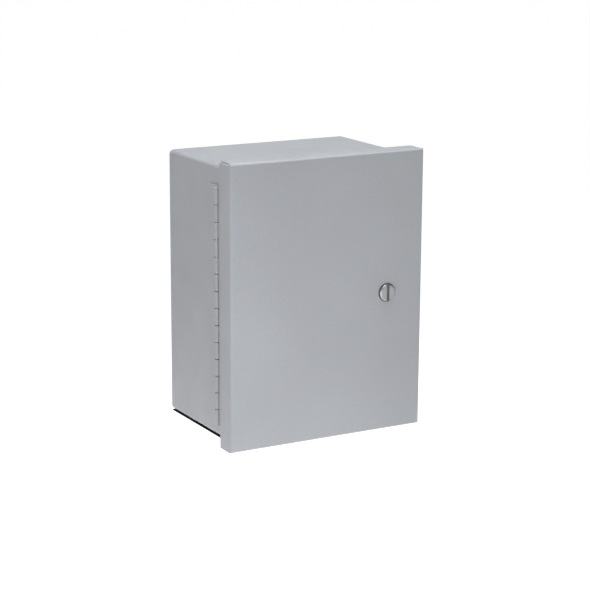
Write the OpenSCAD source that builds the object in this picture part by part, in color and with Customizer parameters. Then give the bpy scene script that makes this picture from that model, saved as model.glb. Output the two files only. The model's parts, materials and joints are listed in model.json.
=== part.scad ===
// Fire alarm control panel in a wall cabinet, in millimetres.
// Origin: centre of the back face, on the wall. +X right, front faces -Y, +Z up.

/* [Cabinet] */
// Outside width of the cabinet
cabinet_w = 228.6; // [226:0.1:240]
// Outside height of the cabinet
cabinet_h = 304.8; // [302:0.1:316]
// Depth of the cabinet body from wall to front lip
cabinet_d = 158; // [150:0.5:170]
// Sheet thickness of cabinet and door
sheet = 1.5; // [1.2:0.1:1.6]
// Outside radius of the long bends of the wrapper
bend_r = 5.5; // [5:0.5:8]
// Width of the inward front lip
lip_w = 12; // [10:0.5:13]

/* [Door] */
// How far the door stands past the cabinet on each side
overhang = 7.2; // [6.8:0.1:8]
// Gap from the front lip to the inside of the door
door_gap = 4; // [3.5:0.1:5]
// Depth of the door flange, front to rear edge
flange_d = 25.4; // [22:0.2:27]
// Outside bend radius of the door
door_bend = 3; // [2:0.1:4]
// Width of the slit at each flange corner
corner_slit = 0.5; // [0.3:0.1:0.8]
// How far the side flanges stop short of the top of the door
flange_drop = 2; // [0.5:0.1:3]

/* [Hinge] */
// Pitch of the hinge knuckles
knuckle_pitch = 19.05; // [18:0.05:19.5]
// Gap between neighbouring knuckles
knuckle_gap = 0.8; // [0.4:0.05:1]
// Outside radius of the knuckles
knuckle_r = 3; // [2.8:0.1:3.2]
// Radius of the hinge pin
pin_r = 1.2; // [1.1:0.05:1.3]
// Thickness of the hinge leaves
leaf_t = 1.2; // [1:0.1:1.3]
// Height of the hinge centre above the cabinet centre
hinge_z = -2.7; // [-5:0.1:5]

/* [Latch] */
// Latch centre, to the right of the cabinet centre
latch_x = 75.2; // [70:0.1:78]
// Radius of the slotted latch head
latch_r = 9.7; // [9:0.1:10.4]
// Width of the driver slot
slot_w = 3.6; // [2:0.1:4]
// Depth of the driver slot
slot_d = 2; // [1:0.1:2]
// Reach of the cam from the latch centre
cam_reach = 32; // [30:0.5:34]

/* [Controls] */
// Side of the square push button caps
button_w = 12; // [10:0.5:13]
// Clearance around each button cap
button_gap = 0.4; // [0.3:0.05:0.6]

/* [Hidden] */
$fn = 48;

hw = cabinet_w / 2;
hh = cabinet_h / 2;
lip_y = -cabinet_d;
door_in_y = lip_y - door_gap;
door_y = door_in_y - sheet;
flange_y = door_y + flange_d;
dw = hw + overhang;
dh = hh + overhang;
hinge_x = -hw - overhang + 0.5;
hinge_y = flange_y + 7.5;
knuckles = 14;
hinge_len = knuckle_pitch * knuckles;
hinge_z0 = hinge_z - hinge_len / 2;
bore_r = pin_r + 0.05;
floor_z = -hh + sheet;
back_y = -sheet;
plate_y = -13.5;
panel_y = plate_y - 1.5;
face_y = -96.2;
face_t = 1.5;
board_y = panel_y - 8;
disp_y = face_y + 10;
tx = -63;
tz = 76;
tu = 8.4;
steel = [0.83, 0.84, 0.86];
zinc = [0.78, 0.78, 0.74];
black = [0.08, 0.08, 0.09];
green = [0.05, 0.35, 0.2];

// --- helpers -------------------------------------------------------------
module box(x0, x1, y0, y1, z0, z1) {
  translate([x0, y0, z0])
    cube([x1 - x0, y1 - y0, z1 - z0]);
}

module ycyl(x, z, y0, y1, r) {
  translate([x, y1, z])
    rotate([90, 0, 0])
      cylinder(r = r, h = y1 - y0);
}

module yhex(x, z, y0, y1, r) {
  translate([x, y1, z])
    rotate([90, 0, 0])
      cylinder(r = r, h = y1 - y0, $fn = 6);
}

module zcyl(x, y, z0, z1, r) {
  translate([x, y, z0])
    cylinder(r = r, h = z1 - z0);
}

module yext(y0, y1) {
  translate([0, y1, 0])
    rotate([90, 0, 0])
      linear_extrude(height = y1 - y0)
        children();
}

module rounded(w, h, r) {
  square([w - 2 * r, h], center = true);
  square([w, h - 2 * r], center = true);
  for (sx = [-1, 1])
    for (sz = [-1, 1])
      translate([sx * (w / 2 - r), sz * (h / 2 - r)])
        circle(r = r);
}

// A pan screw along Y: head in front of y_seat, shank behind it.
module pan_screw(x, z, y_seat, head_r, head_h, shank_r, shank_l) {
  difference() {
    union() {
      ycyl(x, z, y_seat - head_h, y_seat, head_r);
      ycyl(x, z, y_seat - 0.01, y_seat + shank_l, shank_r);
    }
    box(x - head_r * 0.7, x + head_r * 0.7, y_seat - head_h - 1,
        y_seat - head_h * 0.45, z - head_r * 0.12, z + head_r * 0.12);
    box(x - head_r * 0.12, x + head_r * 0.12, y_seat - head_h - 1,
        y_seat - head_h * 0.45, z - head_r * 0.7, z + head_r * 0.7);
  }
}

function unit(v) = v / norm(v);
function spline(p0, p1, p2, p3, t) = 0.5 * ((2 * p1) + (p2 - p0) * t
  + (2 * p0 - 5 * p1 + 4 * p2 - p3) * t * t
  + (3 * p1 - p0 - 3 * p2 + p3) * t * t * t);
function at(p, i) = p[max(0, min(len(p) - 1, i))];
function smooth(p, n) = concat(
  [for (i = [0 : len(p) - 2], k = [0 : n - 1])
    spline(at(p, i - 1), p[i], p[i + 1], at(p, i + 2), k / n)],
  [p[len(p) - 1]]);

// A round lead swept along a smooth path; ref is never parallel to the path.
module lead(path, r, ref = [1, 0.13, 0.21], n = 5, sides = 8) {
  q = smooth(path, n);
  m = len(q);
  pts = [for (i = [0 : m - 1])
    let (t = unit(at(q, i + 1) - at(q, i - 1)))
    let (u = unit(cross(t, ref)))
    let (v = cross(t, u))
    for (k = [0 : sides - 1])
      q[i] + r * (cos(360 * k / sides) * u + sin(360 * k / sides) * v)];
  skin = [for (i = [0 : m - 2], k = [0 : sides - 1])
    [i * sides + k, i * sides + (k + 1) % sides,
     (i + 1) * sides + (k + 1) % sides, (i + 1) * sides + k]];
  cap0 = [[for (k = [0 : sides - 1]) sides - 1 - k]];
  cap1 = [[for (k = [0 : sides - 1]) (m - 1) * sides + k]];
  polyhedron(points = pts, faces = concat(skin, cap0, cap1));
}

// --- cabinet -------------------------------------------------------------
hole_x = 101.6;
hole_z = 127;
ko_x = [-60, 0, 60];
ko_y = -120;
ko_r = 11;
bush_x = 92;
bush_y = -120;

module cabinet_wrapper() {
  color(steel)
    difference() {
      union() {
        yext(lip_y, 0)
          difference() {
            rounded(cabinet_w, cabinet_h, bend_r);
            rounded(cabinet_w - 2 * sheet, cabinet_h - 2 * sheet, bend_r - sheet);
          }
        yext(lip_y, lip_y + sheet)
          difference() {
            rounded(cabinet_w - 0.4, cabinet_h - 0.4, bend_r - 0.2);
            square([cabinet_w - 2 * lip_w, cabinet_h - 2 * lip_w], center = true);
          }
      }
      for (sx = [-1, 1])
        for (sz = [-1, 1])
          translate([sx * (hw - lip_w - 1), lip_y - 1, sz * (hh - lip_w - 1)])
            rotate([0, -sx * sz * 45, 0])
              translate([sx > 0 ? 0 : -lip_w, 0, -0.25])
                cube([lip_w, sheet + 2, 0.5]);
      for (x = ko_x)
        zcyl(x, ko_y, -hh - 1, floor_z + 1, ko_r + 0.35);
      zcyl(bush_x, bush_y, -hh - 1, floor_z + 1, 8);
      for (x = [-70, 70])
        zcyl(x, -91, -hh - 1, floor_z + 1, 1.65);
    }
}

module cabinet_back() {
  color(steel)
    difference() {
      yext(back_y, 0)
        rounded(cabinet_w - 2 * sheet, cabinet_h - 2 * sheet, bend_r - sheet);
      for (sx = [-1, 1])
        for (sz = [-1, 1])
          ycyl(sx * hole_x, sz * hole_z, back_y - 1, 1, 4);
    }
}

module knockout_discs() {
  color(steel)
    for (x = ko_x) {
      zcyl(x, ko_y, -hh, floor_z, ko_r);
      box(x - 1.2, x + 1.2, ko_y + ko_r - 0.5, ko_y + ko_r + 0.4, -hh + 0.2, floor_z - 0.2);
    }
}

module cable_bushing() {
  color(black)
    difference() {
      union() {
        zcyl(bush_x, bush_y, -hh - 1.6, -hh, 10);
        zcyl(bush_x, bush_y, -hh - 1, floor_z + 6, 7.9);
        zcyl(bush_x, bush_y, floor_z, floor_z + 1.6, 9);
      }
      zcyl(bush_x, bush_y, -hh - 3, floor_z + 8, 6);
    }
}

module ground_nuts() {
  color(zinc)
    difference() {
      union() {
        yhex(102, -95, back_y - 5, back_y - 1, 4.6);
        ycyl(102, -95, back_y - 7.3, back_y - 6.3, 5);
        yhex(102, -95, back_y - 11.3, back_y - 7.3, 4.6);
      }
      ycyl(102, -95, back_y - 20, back_y + 1, 2.5);
    }
}

stud_pos = [[-94, -30], [94, -30], [-84, 108], [84, 108]];

module weld_studs() {
  color(zinc)
    union() {
      for (p = stud_pos) {
        ycyl(p[0], p[1], plate_y, back_y, 4);
        ycyl(p[0], p[1], panel_y - 5.5, plate_y + 0.01, 2);
      }
      ycyl(102, -95, back_y - 16, back_y, 2.5);
    }
}

module sub_panel() {
  color(zinc)
    difference() {
      union() {
        box(-100, 100, panel_y, plate_y, -38, 116);
        for (sx = [-1, 1]) {
          translate([sx * 99.25, 0, 0])
            box(-0.75, 0.75, face_y, plate_y, 30, 116);
          translate([sx * 94, 0, 0])
            box(-6, 6, face_y, face_y + 1.5, 30, 116);
        }
      }
      for (p = stud_pos)
        ycyl(p[0], p[1], panel_y - 1, plate_y + 1, 2.2);
      for (sx = [-1, 1])
        for (z = [37, 109])
          ycyl(sx * 94, z, face_y - 1, face_y + 3, 1.65);
      for (p = board_pos)
        ycyl(p[0], p[1], panel_y - 1, plate_y + 1, 1.65);
      for (sx = [-1, 1])
        ycyl(tx + sx * 30.5, tz, panel_y - 1, plate_y + 1, 1.85);
    }
}

module panel_nuts() {
  color(zinc)
    for (p = stud_pos)
      difference() {
        union() {
          yhex(p[0], p[1], panel_y - 4, panel_y - 0.8, 4);
          ycyl(p[0], p[1], panel_y - 0.8, panel_y, 4.5);
        }
        ycyl(p[0], p[1], panel_y - 6, panel_y + 1, 2);
      }
}

// --- hinge ---------------------------------------------------------------
module knuckle_tubes(parity) {
  for (i = [parity : 2 : knuckles - 1])
    zcyl(hinge_x, hinge_y, hinge_z0 + i * knuckle_pitch + knuckle_gap / 2,
         hinge_z0 + (i + 1) * knuckle_pitch - knuckle_gap / 2, knuckle_r);
}

module hinge_body_leaf() {
  color(steel)
    difference() {
      union() {
        box(-hw - leaf_t, -hw, hinge_y + 7, hinge_y + 27.5, hinge_z0, hinge_z0 + hinge_len);
        translate([0, 0, hinge_z0])
          linear_extrude(height = hinge_len)
            polygon([[-hw, hinge_y + 7.01], [-hw - leaf_t, hinge_y + 7.01],
              [hinge_x + 2.2, hinge_y + 3.8], [hinge_x + 3.4, hinge_y + 2.6]]);
        for (i = [0 : 2 : knuckles - 1])
          translate([0, 0, hinge_z0 + i * knuckle_pitch + knuckle_gap / 2])
            linear_extrude(height = knuckle_pitch - knuckle_gap)
              polygon([[hinge_x + 2.6, hinge_y + 4.15], [hinge_x + 3.7, hinge_y + 2.95],
                [hinge_x + 2.6, hinge_y + 1], [hinge_x + 0.9, hinge_y + 2.6]]);
        knuckle_tubes(0);
      }
      zcyl(hinge_x, hinge_y, hinge_z0 - 1, hinge_z0 + hinge_len + 1, bore_r);
    }
}

module hinge_pin() {
  color(zinc)
    zcyl(hinge_x, hinge_y, hinge_z0 + 0.3, hinge_z0 + hinge_len - 0.3, pin_r);
}

module hinge_door_leaf() {
  color(steel)
    difference() {
      union() {
        translate([-dw + sheet, 0, hinge_z0])
          linear_extrude(height = hinge_len)
            polygon([[0, door_in_y + 2], [leaf_t, door_in_y + 2], [leaf_t, flange_y + 0.3],
              [leaf_t - 0.7, flange_y + 1.1], [leaf_t - 0.7, hinge_y - 3.6],
              [-0.7, hinge_y - 3.6], [-0.7, flange_y + 0.6], [0, flange_y + 0.05]]);
        for (i = [1 : 2 : knuckles - 1])
          box(-dw + sheet - 0.7, -dw + sheet + leaf_t - 0.7, hinge_y - 3.7, hinge_y - 2,
              hinge_z0 + i * knuckle_pitch + knuckle_gap / 2,
              hinge_z0 + (i + 1) * knuckle_pitch - knuckle_gap / 2);
        knuckle_tubes(1);
      }
      zcyl(hinge_x, hinge_y, hinge_z0 - 1, hinge_z0 + hinge_len + 1, bore_r);
    }
}

// --- door ----------------------------------------------------------------
module pan_profile(half, y0, y1, r) {
  translate([-half, y0 + r])
    square([2 * half, y1 - y0 - r]);
  translate([-half + r, y0])
    square([2 * (half - r), r + 0.5]);
  for (s = [-1, 1])
    translate([s * (half - r), y0 + r])
      circle(r = r);
}

module pan_block(w2, h2, y0, y1, r) {
  intersection() {
    linear_extrude(height = 2 * h2 + 4, center = true)
      pan_profile(w2, y0, y1, r);
    rotate([0, 90, 0])
      linear_extrude(height = 2 * w2 + 4, center = true)
        pan_profile(h2, y0, y1, r);
  }
}

module door_pan() {
  color(steel)
    difference() {
      pan_block(dw, dh, door_y, flange_y, door_bend);
      pan_block(dw - sheet, dh - sheet, door_in_y, flange_y + 2, door_bend - sheet);
      for (sx = [-1, 1])
        for (sz = [-1, 1])
          translate([sx * (dw - sheet - corner_slit / 2), 0, sz * (dh - sheet / 2)])
            box(-corner_slit / 2, corner_slit / 2, door_y + door_bend, flange_y + 1,
                -sheet / 2 - 0.02, sheet / 2 + 1);
      for (sx = [-1, 1])
        translate([sx * (dw - corner_slit), 0, dh])
          box(-sheet, sheet, door_y + door_bend, flange_y + 1, -flange_drop, 1);
      ycyl(latch_x, 0, door_y - 1, door_in_y + 1, 9.2);
    }
}

module latch_housing() {
  color(zinc)
    difference() {
      union() {
        ycyl(latch_x, 0, door_y - 0.5, door_y, 10.8);
        ycyl(latch_x, 0, door_y - 0.4, lip_y + 0.8, 9);
      }
      ycyl(latch_x, 0, door_y - 2, lip_y + 3, 5.05);
    }
}

module latch_nut() {
  color(zinc)
    difference() {
      yhex(latch_x, 0, door_in_y, door_in_y + 3.5, 13.5);
      ycyl(latch_x, 0, door_in_y - 1, door_in_y + 5, 9);
    }
}

module latch_head() {
  color([0.7, 0.7, 0.72])
    difference() {
      union() {
        translate([latch_x, door_y - 0.8, 0])
          rotate([90, 0, 0])
            rotate_extrude()
              polygon([[0, 0], [latch_r, 0], [latch_r, 1.3], [latch_r - 1, 2.3], [0, 2.3]]);
        ycyl(latch_x, 0, door_y - 0.9, lip_y + 2.4, 5);
        intersection() {
          ycyl(latch_x, 0, lip_y + 2.3, lip_y + 4.6, 5);
          box(latch_x - 3.5, latch_x + 3.5, lip_y + 2, lip_y + 5, -6, 6);
        }
      }
      box(latch_x - slot_w / 2, latch_x + slot_w / 2, door_y - 5,
          door_y - 3.1 + slot_d, -latch_r - 1, latch_r + 1);
      ycyl(latch_x, 0, lip_y - 2, lip_y + 6, 2);
    }
}

module latch_cam() {
  color(zinc)
    difference() {
      union() {
        ycyl(latch_x, 0, lip_y + 2.4, lip_y + 4.8, 9);
        box(latch_x - 6, latch_x + 6, lip_y + 2.4, lip_y + 4.8, -cam_reach, 0);
      }
      intersection() {
        ycyl(latch_x, 0, lip_y + 1, lip_y + 6, 5.02);
        box(latch_x - 3.52, latch_x + 3.52, lip_y + 1, lip_y + 6, -6, 6);
      }
    }
}

module latch_screw() {
  color(zinc)
    difference() {
      union() {
        ycyl(latch_x, 0, lip_y + 4.8, lip_y + 7.8, 5);
        ycyl(latch_x, 0, lip_y - 1, lip_y + 4.9, 1.98);
      }
      yhex(latch_x, 0, lip_y + 6.2, lip_y + 9, 2.4);
    }
}

// --- power supply --------------------------------------------------------
module transformer_core() {
  color([0.35, 0.36, 0.38])
    difference() {
      box(tx - 3 * tu, tx + 3 * tu, panel_y - 5 * tu, panel_y, tz - 15, tz + 15);
      for (sx = [-1, 1])
        translate([tx + sx * 1.5 * tu, 0, tz])
          box(-tu / 2, tu / 2, panel_y - 4 * tu, panel_y - tu, -16, 16);
    }
}

module transformer_coil() {
  color([0.75, 0.6, 0.2])
    difference() {
      box(tx - 2 * tu + 0.3, tx + 2 * tu - 0.3, panel_y - 4 * tu + 0.3,
          panel_y - tu - 0.3, tz - 23, tz + 23);
      box(tx - tu - 0.1, tx + tu + 0.1, panel_y - 5 * tu, panel_y, tz - 15.2, tz + 15.2);
    }
}

module transformer_frame() {
  color(zinc)
    difference() {
      union() {
        box(tx - 3 * tu - 1, tx + 3 * tu + 1, panel_y - 5 * tu - 1, panel_y, tz - 11, tz + 11);
        box(tx - 35, tx + 35, panel_y - 1, panel_y, tz - 11, tz + 11);
      }
      box(tx - 3 * tu, tx + 3 * tu, panel_y - 5 * tu, panel_y + 1, tz - 12, tz + 12);
      for (sx = [-1, 1])
        ycyl(tx + sx * 30.5, tz, panel_y - 3, panel_y + 1, 1.85);
    }
}

module transformer_screws() {
  color(zinc)
    for (sx = [-1, 1])
      pan_screw(tx + sx * 30.5, tz, panel_y - 1, 3.4, 2.2, 1.8, 4);
}

mt_x = [-80.5, -64, -47.5];

module mains_terminal() {
  color(black)
    difference() {
      box(-89, -39, panel_y - 15, panel_y, -27, -9);
      for (x = mt_x) {
        box(x - 6.5, x + 6.5, panel_y - 16, panel_y - 9, -28, -8);
        ycyl(x, -18, panel_y - 12, panel_y - 4, 1.8);
      }
    }
}

module terminal_screws() {
  color(zinc)
    union() {
      for (x = mt_x)
        pan_screw(x, -18, panel_y - 9, 3.6, 2.2, 1.7, 4);
      for (x = term_x)
        for (k = [0 : 3])
          difference() {
            ycyl(x + 3.6 + 5.6 * k, -18.5, board_y - 12.8, board_y - 11.6, 1.9);
            box(x + 1.4 + 5.6 * k, x + 5.8 + 5.6 * k, board_y - 14, board_y - 12.2,
                -18.8, -18.2);
          }
    }
}

module fuse_holder() {
  color(black)
    difference() {
      box(-90, -38, panel_y - 8, panel_y, 8, 24);
      box(-83, -45, panel_y - 9, panel_y - 5, 7, 25);
    }
}

module fuse_clips() {
  color([0.8, 0.7, 0.4])
    for (x = [-78, -50])
      difference() {
        box(x - 3.5, x + 3.5, panel_y - 15, panel_y - 5, 11, 21);
        translate([x - 4, panel_y - 10, 16])
          rotate([0, 90, 0])
            cylinder(r = 3.2, h = 8);
        box(x - 4, x + 4, panel_y - 16, panel_y - 10, 13.5, 18.5);
      }
}

module fuse() {
  color([0.85, 0.85, 0.85])
    translate([-80, panel_y - 10, 16])
      rotate([0, 90, 0])
        cylinder(r = 3.18, h = 32);
}

// --- main board ----------------------------------------------------------
board_pos = [[-17, -29], [83, -29], [-17, 93], [83, 93]];
term_x = [-12, 13, 38, 63];

module main_board() {
  color(green)
    difference() {
      box(-22, 88, board_y - 1.6, board_y, -34, 98);
      for (p = board_pos)
        ycyl(p[0], p[1], board_y - 3, board_y + 1, 1.65);
    }
}

module hex_standoffs() {
  color(zinc)
    union() {
      for (p = board_pos)
        difference() {
          yhex(p[0], p[1], board_y, panel_y, 3.1);
          ycyl(p[0], p[1], board_y - 1, panel_y + 1, 1.55);
        }
      for (p = disp_pos)
        difference() {
          yhex(p[0], p[1], face_y, disp_y, 3.1);
          ycyl(p[0], p[1], face_y - 1, disp_y + 1, 1.55);
        }
    }
}

module board_screws() {
  color(zinc)
    for (p = board_pos)
      pan_screw(p[0], p[1], board_y - 1.6, 2.9, 2, 1.5, 6);
}

module field_terminals() {
  color([0.1, 0.4, 0.25])
    for (x = term_x)
      difference() {
        box(x, x + 24, board_y - 13.6, board_y - 1.6, -24, -13);
        for (k = [0 : 3]) {
          box(x + 1.5 + 5.6 * k, x + 5.7 + 5.6 * k, board_y - 8, board_y - 3.4, -25, -17);
          ycyl(x + 3.6 + 5.6 * k, -18.5, board_y - 15, board_y - 11.6, 2);
        }
      }
}

module relays() {
  color([0.1, 0.2, 0.5])
    for (x = [-14, 9, 32])
      box(x, x + 19, board_y - 17.1, board_y - 1.6, -6, 9.5);
}

module chips() {
  color(black)
    union() {
      box(2, 30, board_y - 4.2, board_y - 1.6, 44, 72);
      box(42, 62, board_y - 4.2, board_y - 1.6, 62, 69);
      box(42, 62, board_y - 4.2, board_y - 1.6, 46, 53);
    }
}

module capacitors() {
  color([0.15, 0.15, 0.3])
    for (p = [[58, 24, 6.3], [75, 24, 6.3], [-12, 26, 5]])
      ycyl(p[0], p[1], board_y - 21.6, board_y - 1.6, p[2]);
}

module heat_sink() {
  color([0.3, 0.3, 0.32])
    union() {
      box(66, 84, board_y - 26.6, board_y - 1.6, 46, 48);
      for (k = [0 : 4])
        box(66 + 4 * k, 68 + 4 * k, board_y - 26.6, board_y - 1.6, 47.9, 57);
    }
}

module regulator() {
  color(black)
    union() {
      box(70, 80, board_y - 16, board_y - 6.6, 41.5, 46);
      for (x = [72, 74.6, 77.2])
        box(x, x + 0.8, board_y - 6.8, board_y - 1.6, 43.4, 44);
    }
}

// --- control face --------------------------------------------------------
lcd_x = -34;
lcd_z = 88;
btn_x = [-66, -38, -10];
btn_z = 52;
alarm_pos = [[28, 100], [28, 88]];
trouble_pos = [[52, 100], [52, 88], [28, 76]];
power_pos = [76, 100];
buzz_x = 60;
buzz_z = 56;

module face_plate() {
  color([0.16, 0.17, 0.19])
    difference() {
      box(-100, 100, face_y - face_t, face_y, 30, 116);
      box(lcd_x - 37, lcd_x + 37, face_y - 3, face_y + 1, lcd_z - 13, lcd_z + 13);
      for (x = btn_x)
        translate([x, 0, btn_z])
          box(-button_w / 2 - button_gap, button_w / 2 + button_gap, face_y - 3,
              face_y + 1, -button_w / 2 - button_gap, button_w / 2 + button_gap);
      for (p = concat(alarm_pos, trouble_pos, [power_pos]))
        ycyl(p[0], p[1], face_y - 3, face_y + 1, 2.8);
      for (k = [-2 : 2])
        box(buzz_x - 8, buzz_x + 8, face_y - 3, face_y + 1,
            buzz_z + 4 * k - 0.8, buzz_z + 4 * k + 0.8);
      for (sx = [-1, 1])
        for (z = [37, 109])
          ycyl(sx * 94, z, face_y - 3, face_y + 1, 1.65);
      for (p = disp_pos)
        ycyl(p[0], p[1], face_y - 3, face_y + 1, 1.65);
    }
}

module face_screws() {
  color(zinc)
    union() {
      for (sx = [-1, 1])
        for (z = [37, 109])
          pan_screw(sx * 94, z, face_y - face_t, 3, 2, 1.6, 6);
      for (p = disp_pos)
        pan_screw(p[0], p[1], face_y - face_t, 2.9, 1.8, 1.5, 5);
    }
}

disp_pos = [[-82, 40], [82, 40], [-82, 106], [82, 106]];

module display_board() {
  color(green)
    difference() {
      box(-86, 86, disp_y, disp_y + 1.6, 36, 110);
      for (p = disp_pos)
        ycyl(p[0], p[1], disp_y - 1, disp_y + 3, 1.65);
    }
}

module lcd_module() {
  color([0.12, 0.12, 0.13])
    difference() {
      box(lcd_x - 40, lcd_x + 40, face_y + 0.6, disp_y, lcd_z - 18, lcd_z + 18);
      box(lcd_x - 35, lcd_x + 35, face_y - 1, face_y + 2, lcd_z - 11, lcd_z + 11);
    }
}

module lcd_glass() {
  color([0.55, 0.65, 0.3])
    box(lcd_x - 35, lcd_x + 35, face_y + 0.9, face_y + 2, lcd_z - 11, lcd_z + 11);
}

module led(x, z) {
  translate([x, disp_y, z])
    rotate([90, 0, 0])
      rotate_extrude()
        polygon([[0, 0], [2.9, 0], [2.9, 1], [2.5, 1], [2.5, 11.2], [2.2, 12.4],
          [1.5, 13.3], [0.6, 13.7], [0, 13.7]]);
}

module alarm_leds() {
  color([0.85, 0.05, 0.05])
    for (p = alarm_pos)
      led(p[0], p[1]);
}

module trouble_leds() {
  color([0.95, 0.7, 0.05])
    for (p = trouble_pos)
      led(p[0], p[1]);
}

module power_led() {
  color([0.1, 0.75, 0.2])
    led(power_pos[0], power_pos[1]);
}

module tact_switches() {
  color([0.15, 0.15, 0.16])
    for (x = btn_x)
      union() {
        box(x - 6, x + 6, disp_y - 3.4, disp_y, btn_z - 6, btn_z + 6);
        ycyl(x, btn_z, disp_y - 4.4, disp_y - 3.3, 3.2);
      }
}

module push_button(x) {
  union() {
    translate([x, 0, btn_z])
      box(-button_w / 2, button_w / 2, face_y - face_t - 3, face_y + 0.5,
          -button_w / 2, button_w / 2);
    box(x - 7.5, x + 7.5, face_y + 0.4, face_y + 1.6, btn_z - 7.5, btn_z + 7.5);
    ycyl(x, btn_z, face_y + 1.5, disp_y - 6.4, 2.5);
  }
}

module button_ack() {
  color([0.8, 0.8, 0.78])
    push_button(btn_x[0]);
}

module button_silence() {
  color([0.9, 0.65, 0.1])
    push_button(btn_x[1]);
}

module button_reset() {
  color([0.75, 0.1, 0.08])
    push_button(btn_x[2]);
}

module buzzer() {
  color(black)
    difference() {
      ycyl(buzz_x, buzz_z, disp_y - 8.5, disp_y, 12);
      ycyl(buzz_x, buzz_z, disp_y - 9.5, disp_y - 6.5, 1.5);
    }
}

module ribbon_cable() {
  color([0.6, 0.6, 0.62])
    union() {
      translate([14, 0, 0])
        rotate([90, 0, 90])
          linear_extrude(height = 14)
            polygon([[board_y - 1.6, 34], [board_y - 9, 34], [board_y - 9, 33],
              [board_y - 34, 24], [disp_y + 20, 22], [disp_y + 10, 28],
              [disp_y + 9, 40], [disp_y + 1.6, 40], [disp_y + 1.6, 48],
              [disp_y + 8, 48], [disp_y + 10.2, 46], [disp_y + 11.2, 29],
              [disp_y + 20.6, 23.2], [board_y - 34, 25.2], [board_y - 9, 34.6],
              [board_y - 9, 41], [board_y - 1.6, 41]]);
    }
}

// --- batteries -----------------------------------------------------------
bat_y0 = -82;
bat_y1 = -12;
bat_h = 101;

module battery(x0) {
  difference() {
    box(x0, x0 + 90, bat_y0, bat_y1, floor_z, floor_z + bat_h);
    box(x0 - 1, x0 + 91, bat_y0 - 1, bat_y0 + 1.2, floor_z + bat_h - 13, floor_z + bat_h - 11.8);
    box(x0 - 1, x0 + 91, bat_y1 - 1.2, bat_y1 + 1, floor_z + bat_h - 13, floor_z + bat_h - 11.8);
  }
}

module battery_left() {
  color([0.15, 0.16, 0.18])
    battery(-91.5);
}

module battery_right() {
  color([0.15, 0.16, 0.18])
    battery(1.5);
}

module battery_terminals() {
  color([0.85, 0.8, 0.6])
    for (x = [-81, -14, 12, 79])
      union() {
        box(x - 4, x + 4, bat_y0 + 8, bat_y0 + 20, floor_z + bat_h, floor_z + bat_h + 1);
        box(x - 2.4, x + 2.4, bat_y0 + 8, bat_y0 + 8.8, floor_z + bat_h + 0.9,
            floor_z + bat_h + 7.5);
      }
}

module battery_bracket() {
  color(zinc)
    difference() {
      union() {
        box(-88, 88, bat_y0 - 1.5, bat_y0, floor_z, floor_z + 32);
        box(-88, 88, bat_y0 - 18, bat_y0, floor_z, floor_z + 1.5);
      }
      for (x = [-70, 70])
        zcyl(x, -91, floor_z - 1, floor_z + 4, 1.65);
    }
}

module bracket_screws() {
  color(zinc)
    for (x = [-70, 70])
      union() {
        zcyl(x, -91, floor_z + 1.5, floor_z + 3.7, 3.2);
        zcyl(x, -91, -hh, floor_z + 1.6, 1.6);
      }
}

// --- leads ---------------------------------------------------------------
tab_y = bat_y0 + 7;
tab_z = floor_z + bat_h + 4.5;

module lead_red() {
  color([0.8, 0.05, 0.05])
    lead([[79, tab_y, tab_z - 3], [79, tab_y - 1.5, tab_z + 4], [76, tab_y + 3, tab_z + 12],
      [75, -58, -34], [73.4, -44, -39], [72.2, board_y - 11, -36],
      [72.2, board_y - 5.7, -27], [72.2, board_y - 5.7, -20]], 1.5);
}

module lead_black() {
  color([0.06, 0.06, 0.07])
    lead([[-81, tab_y, tab_z - 3], [-81, tab_y - 1.5, tab_z + 4], [-70, tab_y + 2, tab_z + 7],
      [-20, -70, -40.5], [30, -58, -41.5], [55, -44, -41], [65, board_y - 11, -37],
      [66.6, board_y - 6, -27], [66.6, board_y - 5.7, -20]], 1.5, [0.1, 1, 0.15]);
}

module lead_jumper() {
  color([0.1, 0.2, 0.65])
    lead([[-14, tab_y, tab_z - 3], [-14, tab_y - 1.5, tab_z + 3.5], [-8, tab_y - 3, tab_z + 9],
      [6, tab_y - 3, tab_z + 9], [12, tab_y - 1.5, tab_z + 3.5], [12, tab_y, tab_z - 3]],
      1.5, [0.05, 1, 0.1]);
}

module mains_wires() {
  color([0.12, 0.12, 0.13])
    union() {
      lead([[-80.5, panel_y - 10.4, -14.2], [-81, panel_y - 13, -4], [-88, panel_y - 14, 4],
        [-91, panel_y - 12.5, 11], [-87, panel_y - 10.2, 15.6], [-81.7, panel_y - 10, 16]], 1.2);
      lead([[-46.3, panel_y - 10, 16], [-41, panel_y - 10.2, 17], [-37.5, panel_y - 13, 24],
        [-40, panel_y - 18, 36], [-50, panel_y - 22, 47], [-54, panel_y - 22, 53.4]], 1.2);
      lead([[-64, panel_y - 10.4, -14.2], [-62, panel_y - 14, -2], [-63, panel_y - 21, 14],
        [-66, panel_y - 22, 36], [-68, panel_y - 22, 53.5]], 1.2);
    }
}

module ground_wire() {
  color([0.1, 0.5, 0.15])
    lead([[-47.5, panel_y - 10.4, -22], [-47, panel_y - 13, -32], [-30, panel_y - 4, -43],
      [20, -8.5, -44.5], [84, -6.4, -48], [99, -6.2, -60], [102, -7.4, -78],
      [102, -8.3, -89.6]], 1.2, [0.1, 1, 0.1]);
}

module secondary_wires() {
  color([0.75, 0.65, 0.1])
    union() {
      lead([[-56, panel_y - 24, 98.5], [-52, panel_y - 22, 106], [-36, panel_y - 24, 109],
        [-18, board_y - 12, 104], [-10, board_y - 9, 92], [-10, board_y - 2.2, 86]],
        1, [0.1, 0.1, 1]);
      lead([[-68, panel_y - 24, 98.5], [-64, panel_y - 26, 109], [-40, panel_y - 27, 112],
        [-14, board_y - 14, 107], [-4, board_y - 10, 94], [-4, board_y - 2.2, 86]],
        1, [0.1, 0.1, 1]);
    }
}

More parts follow.
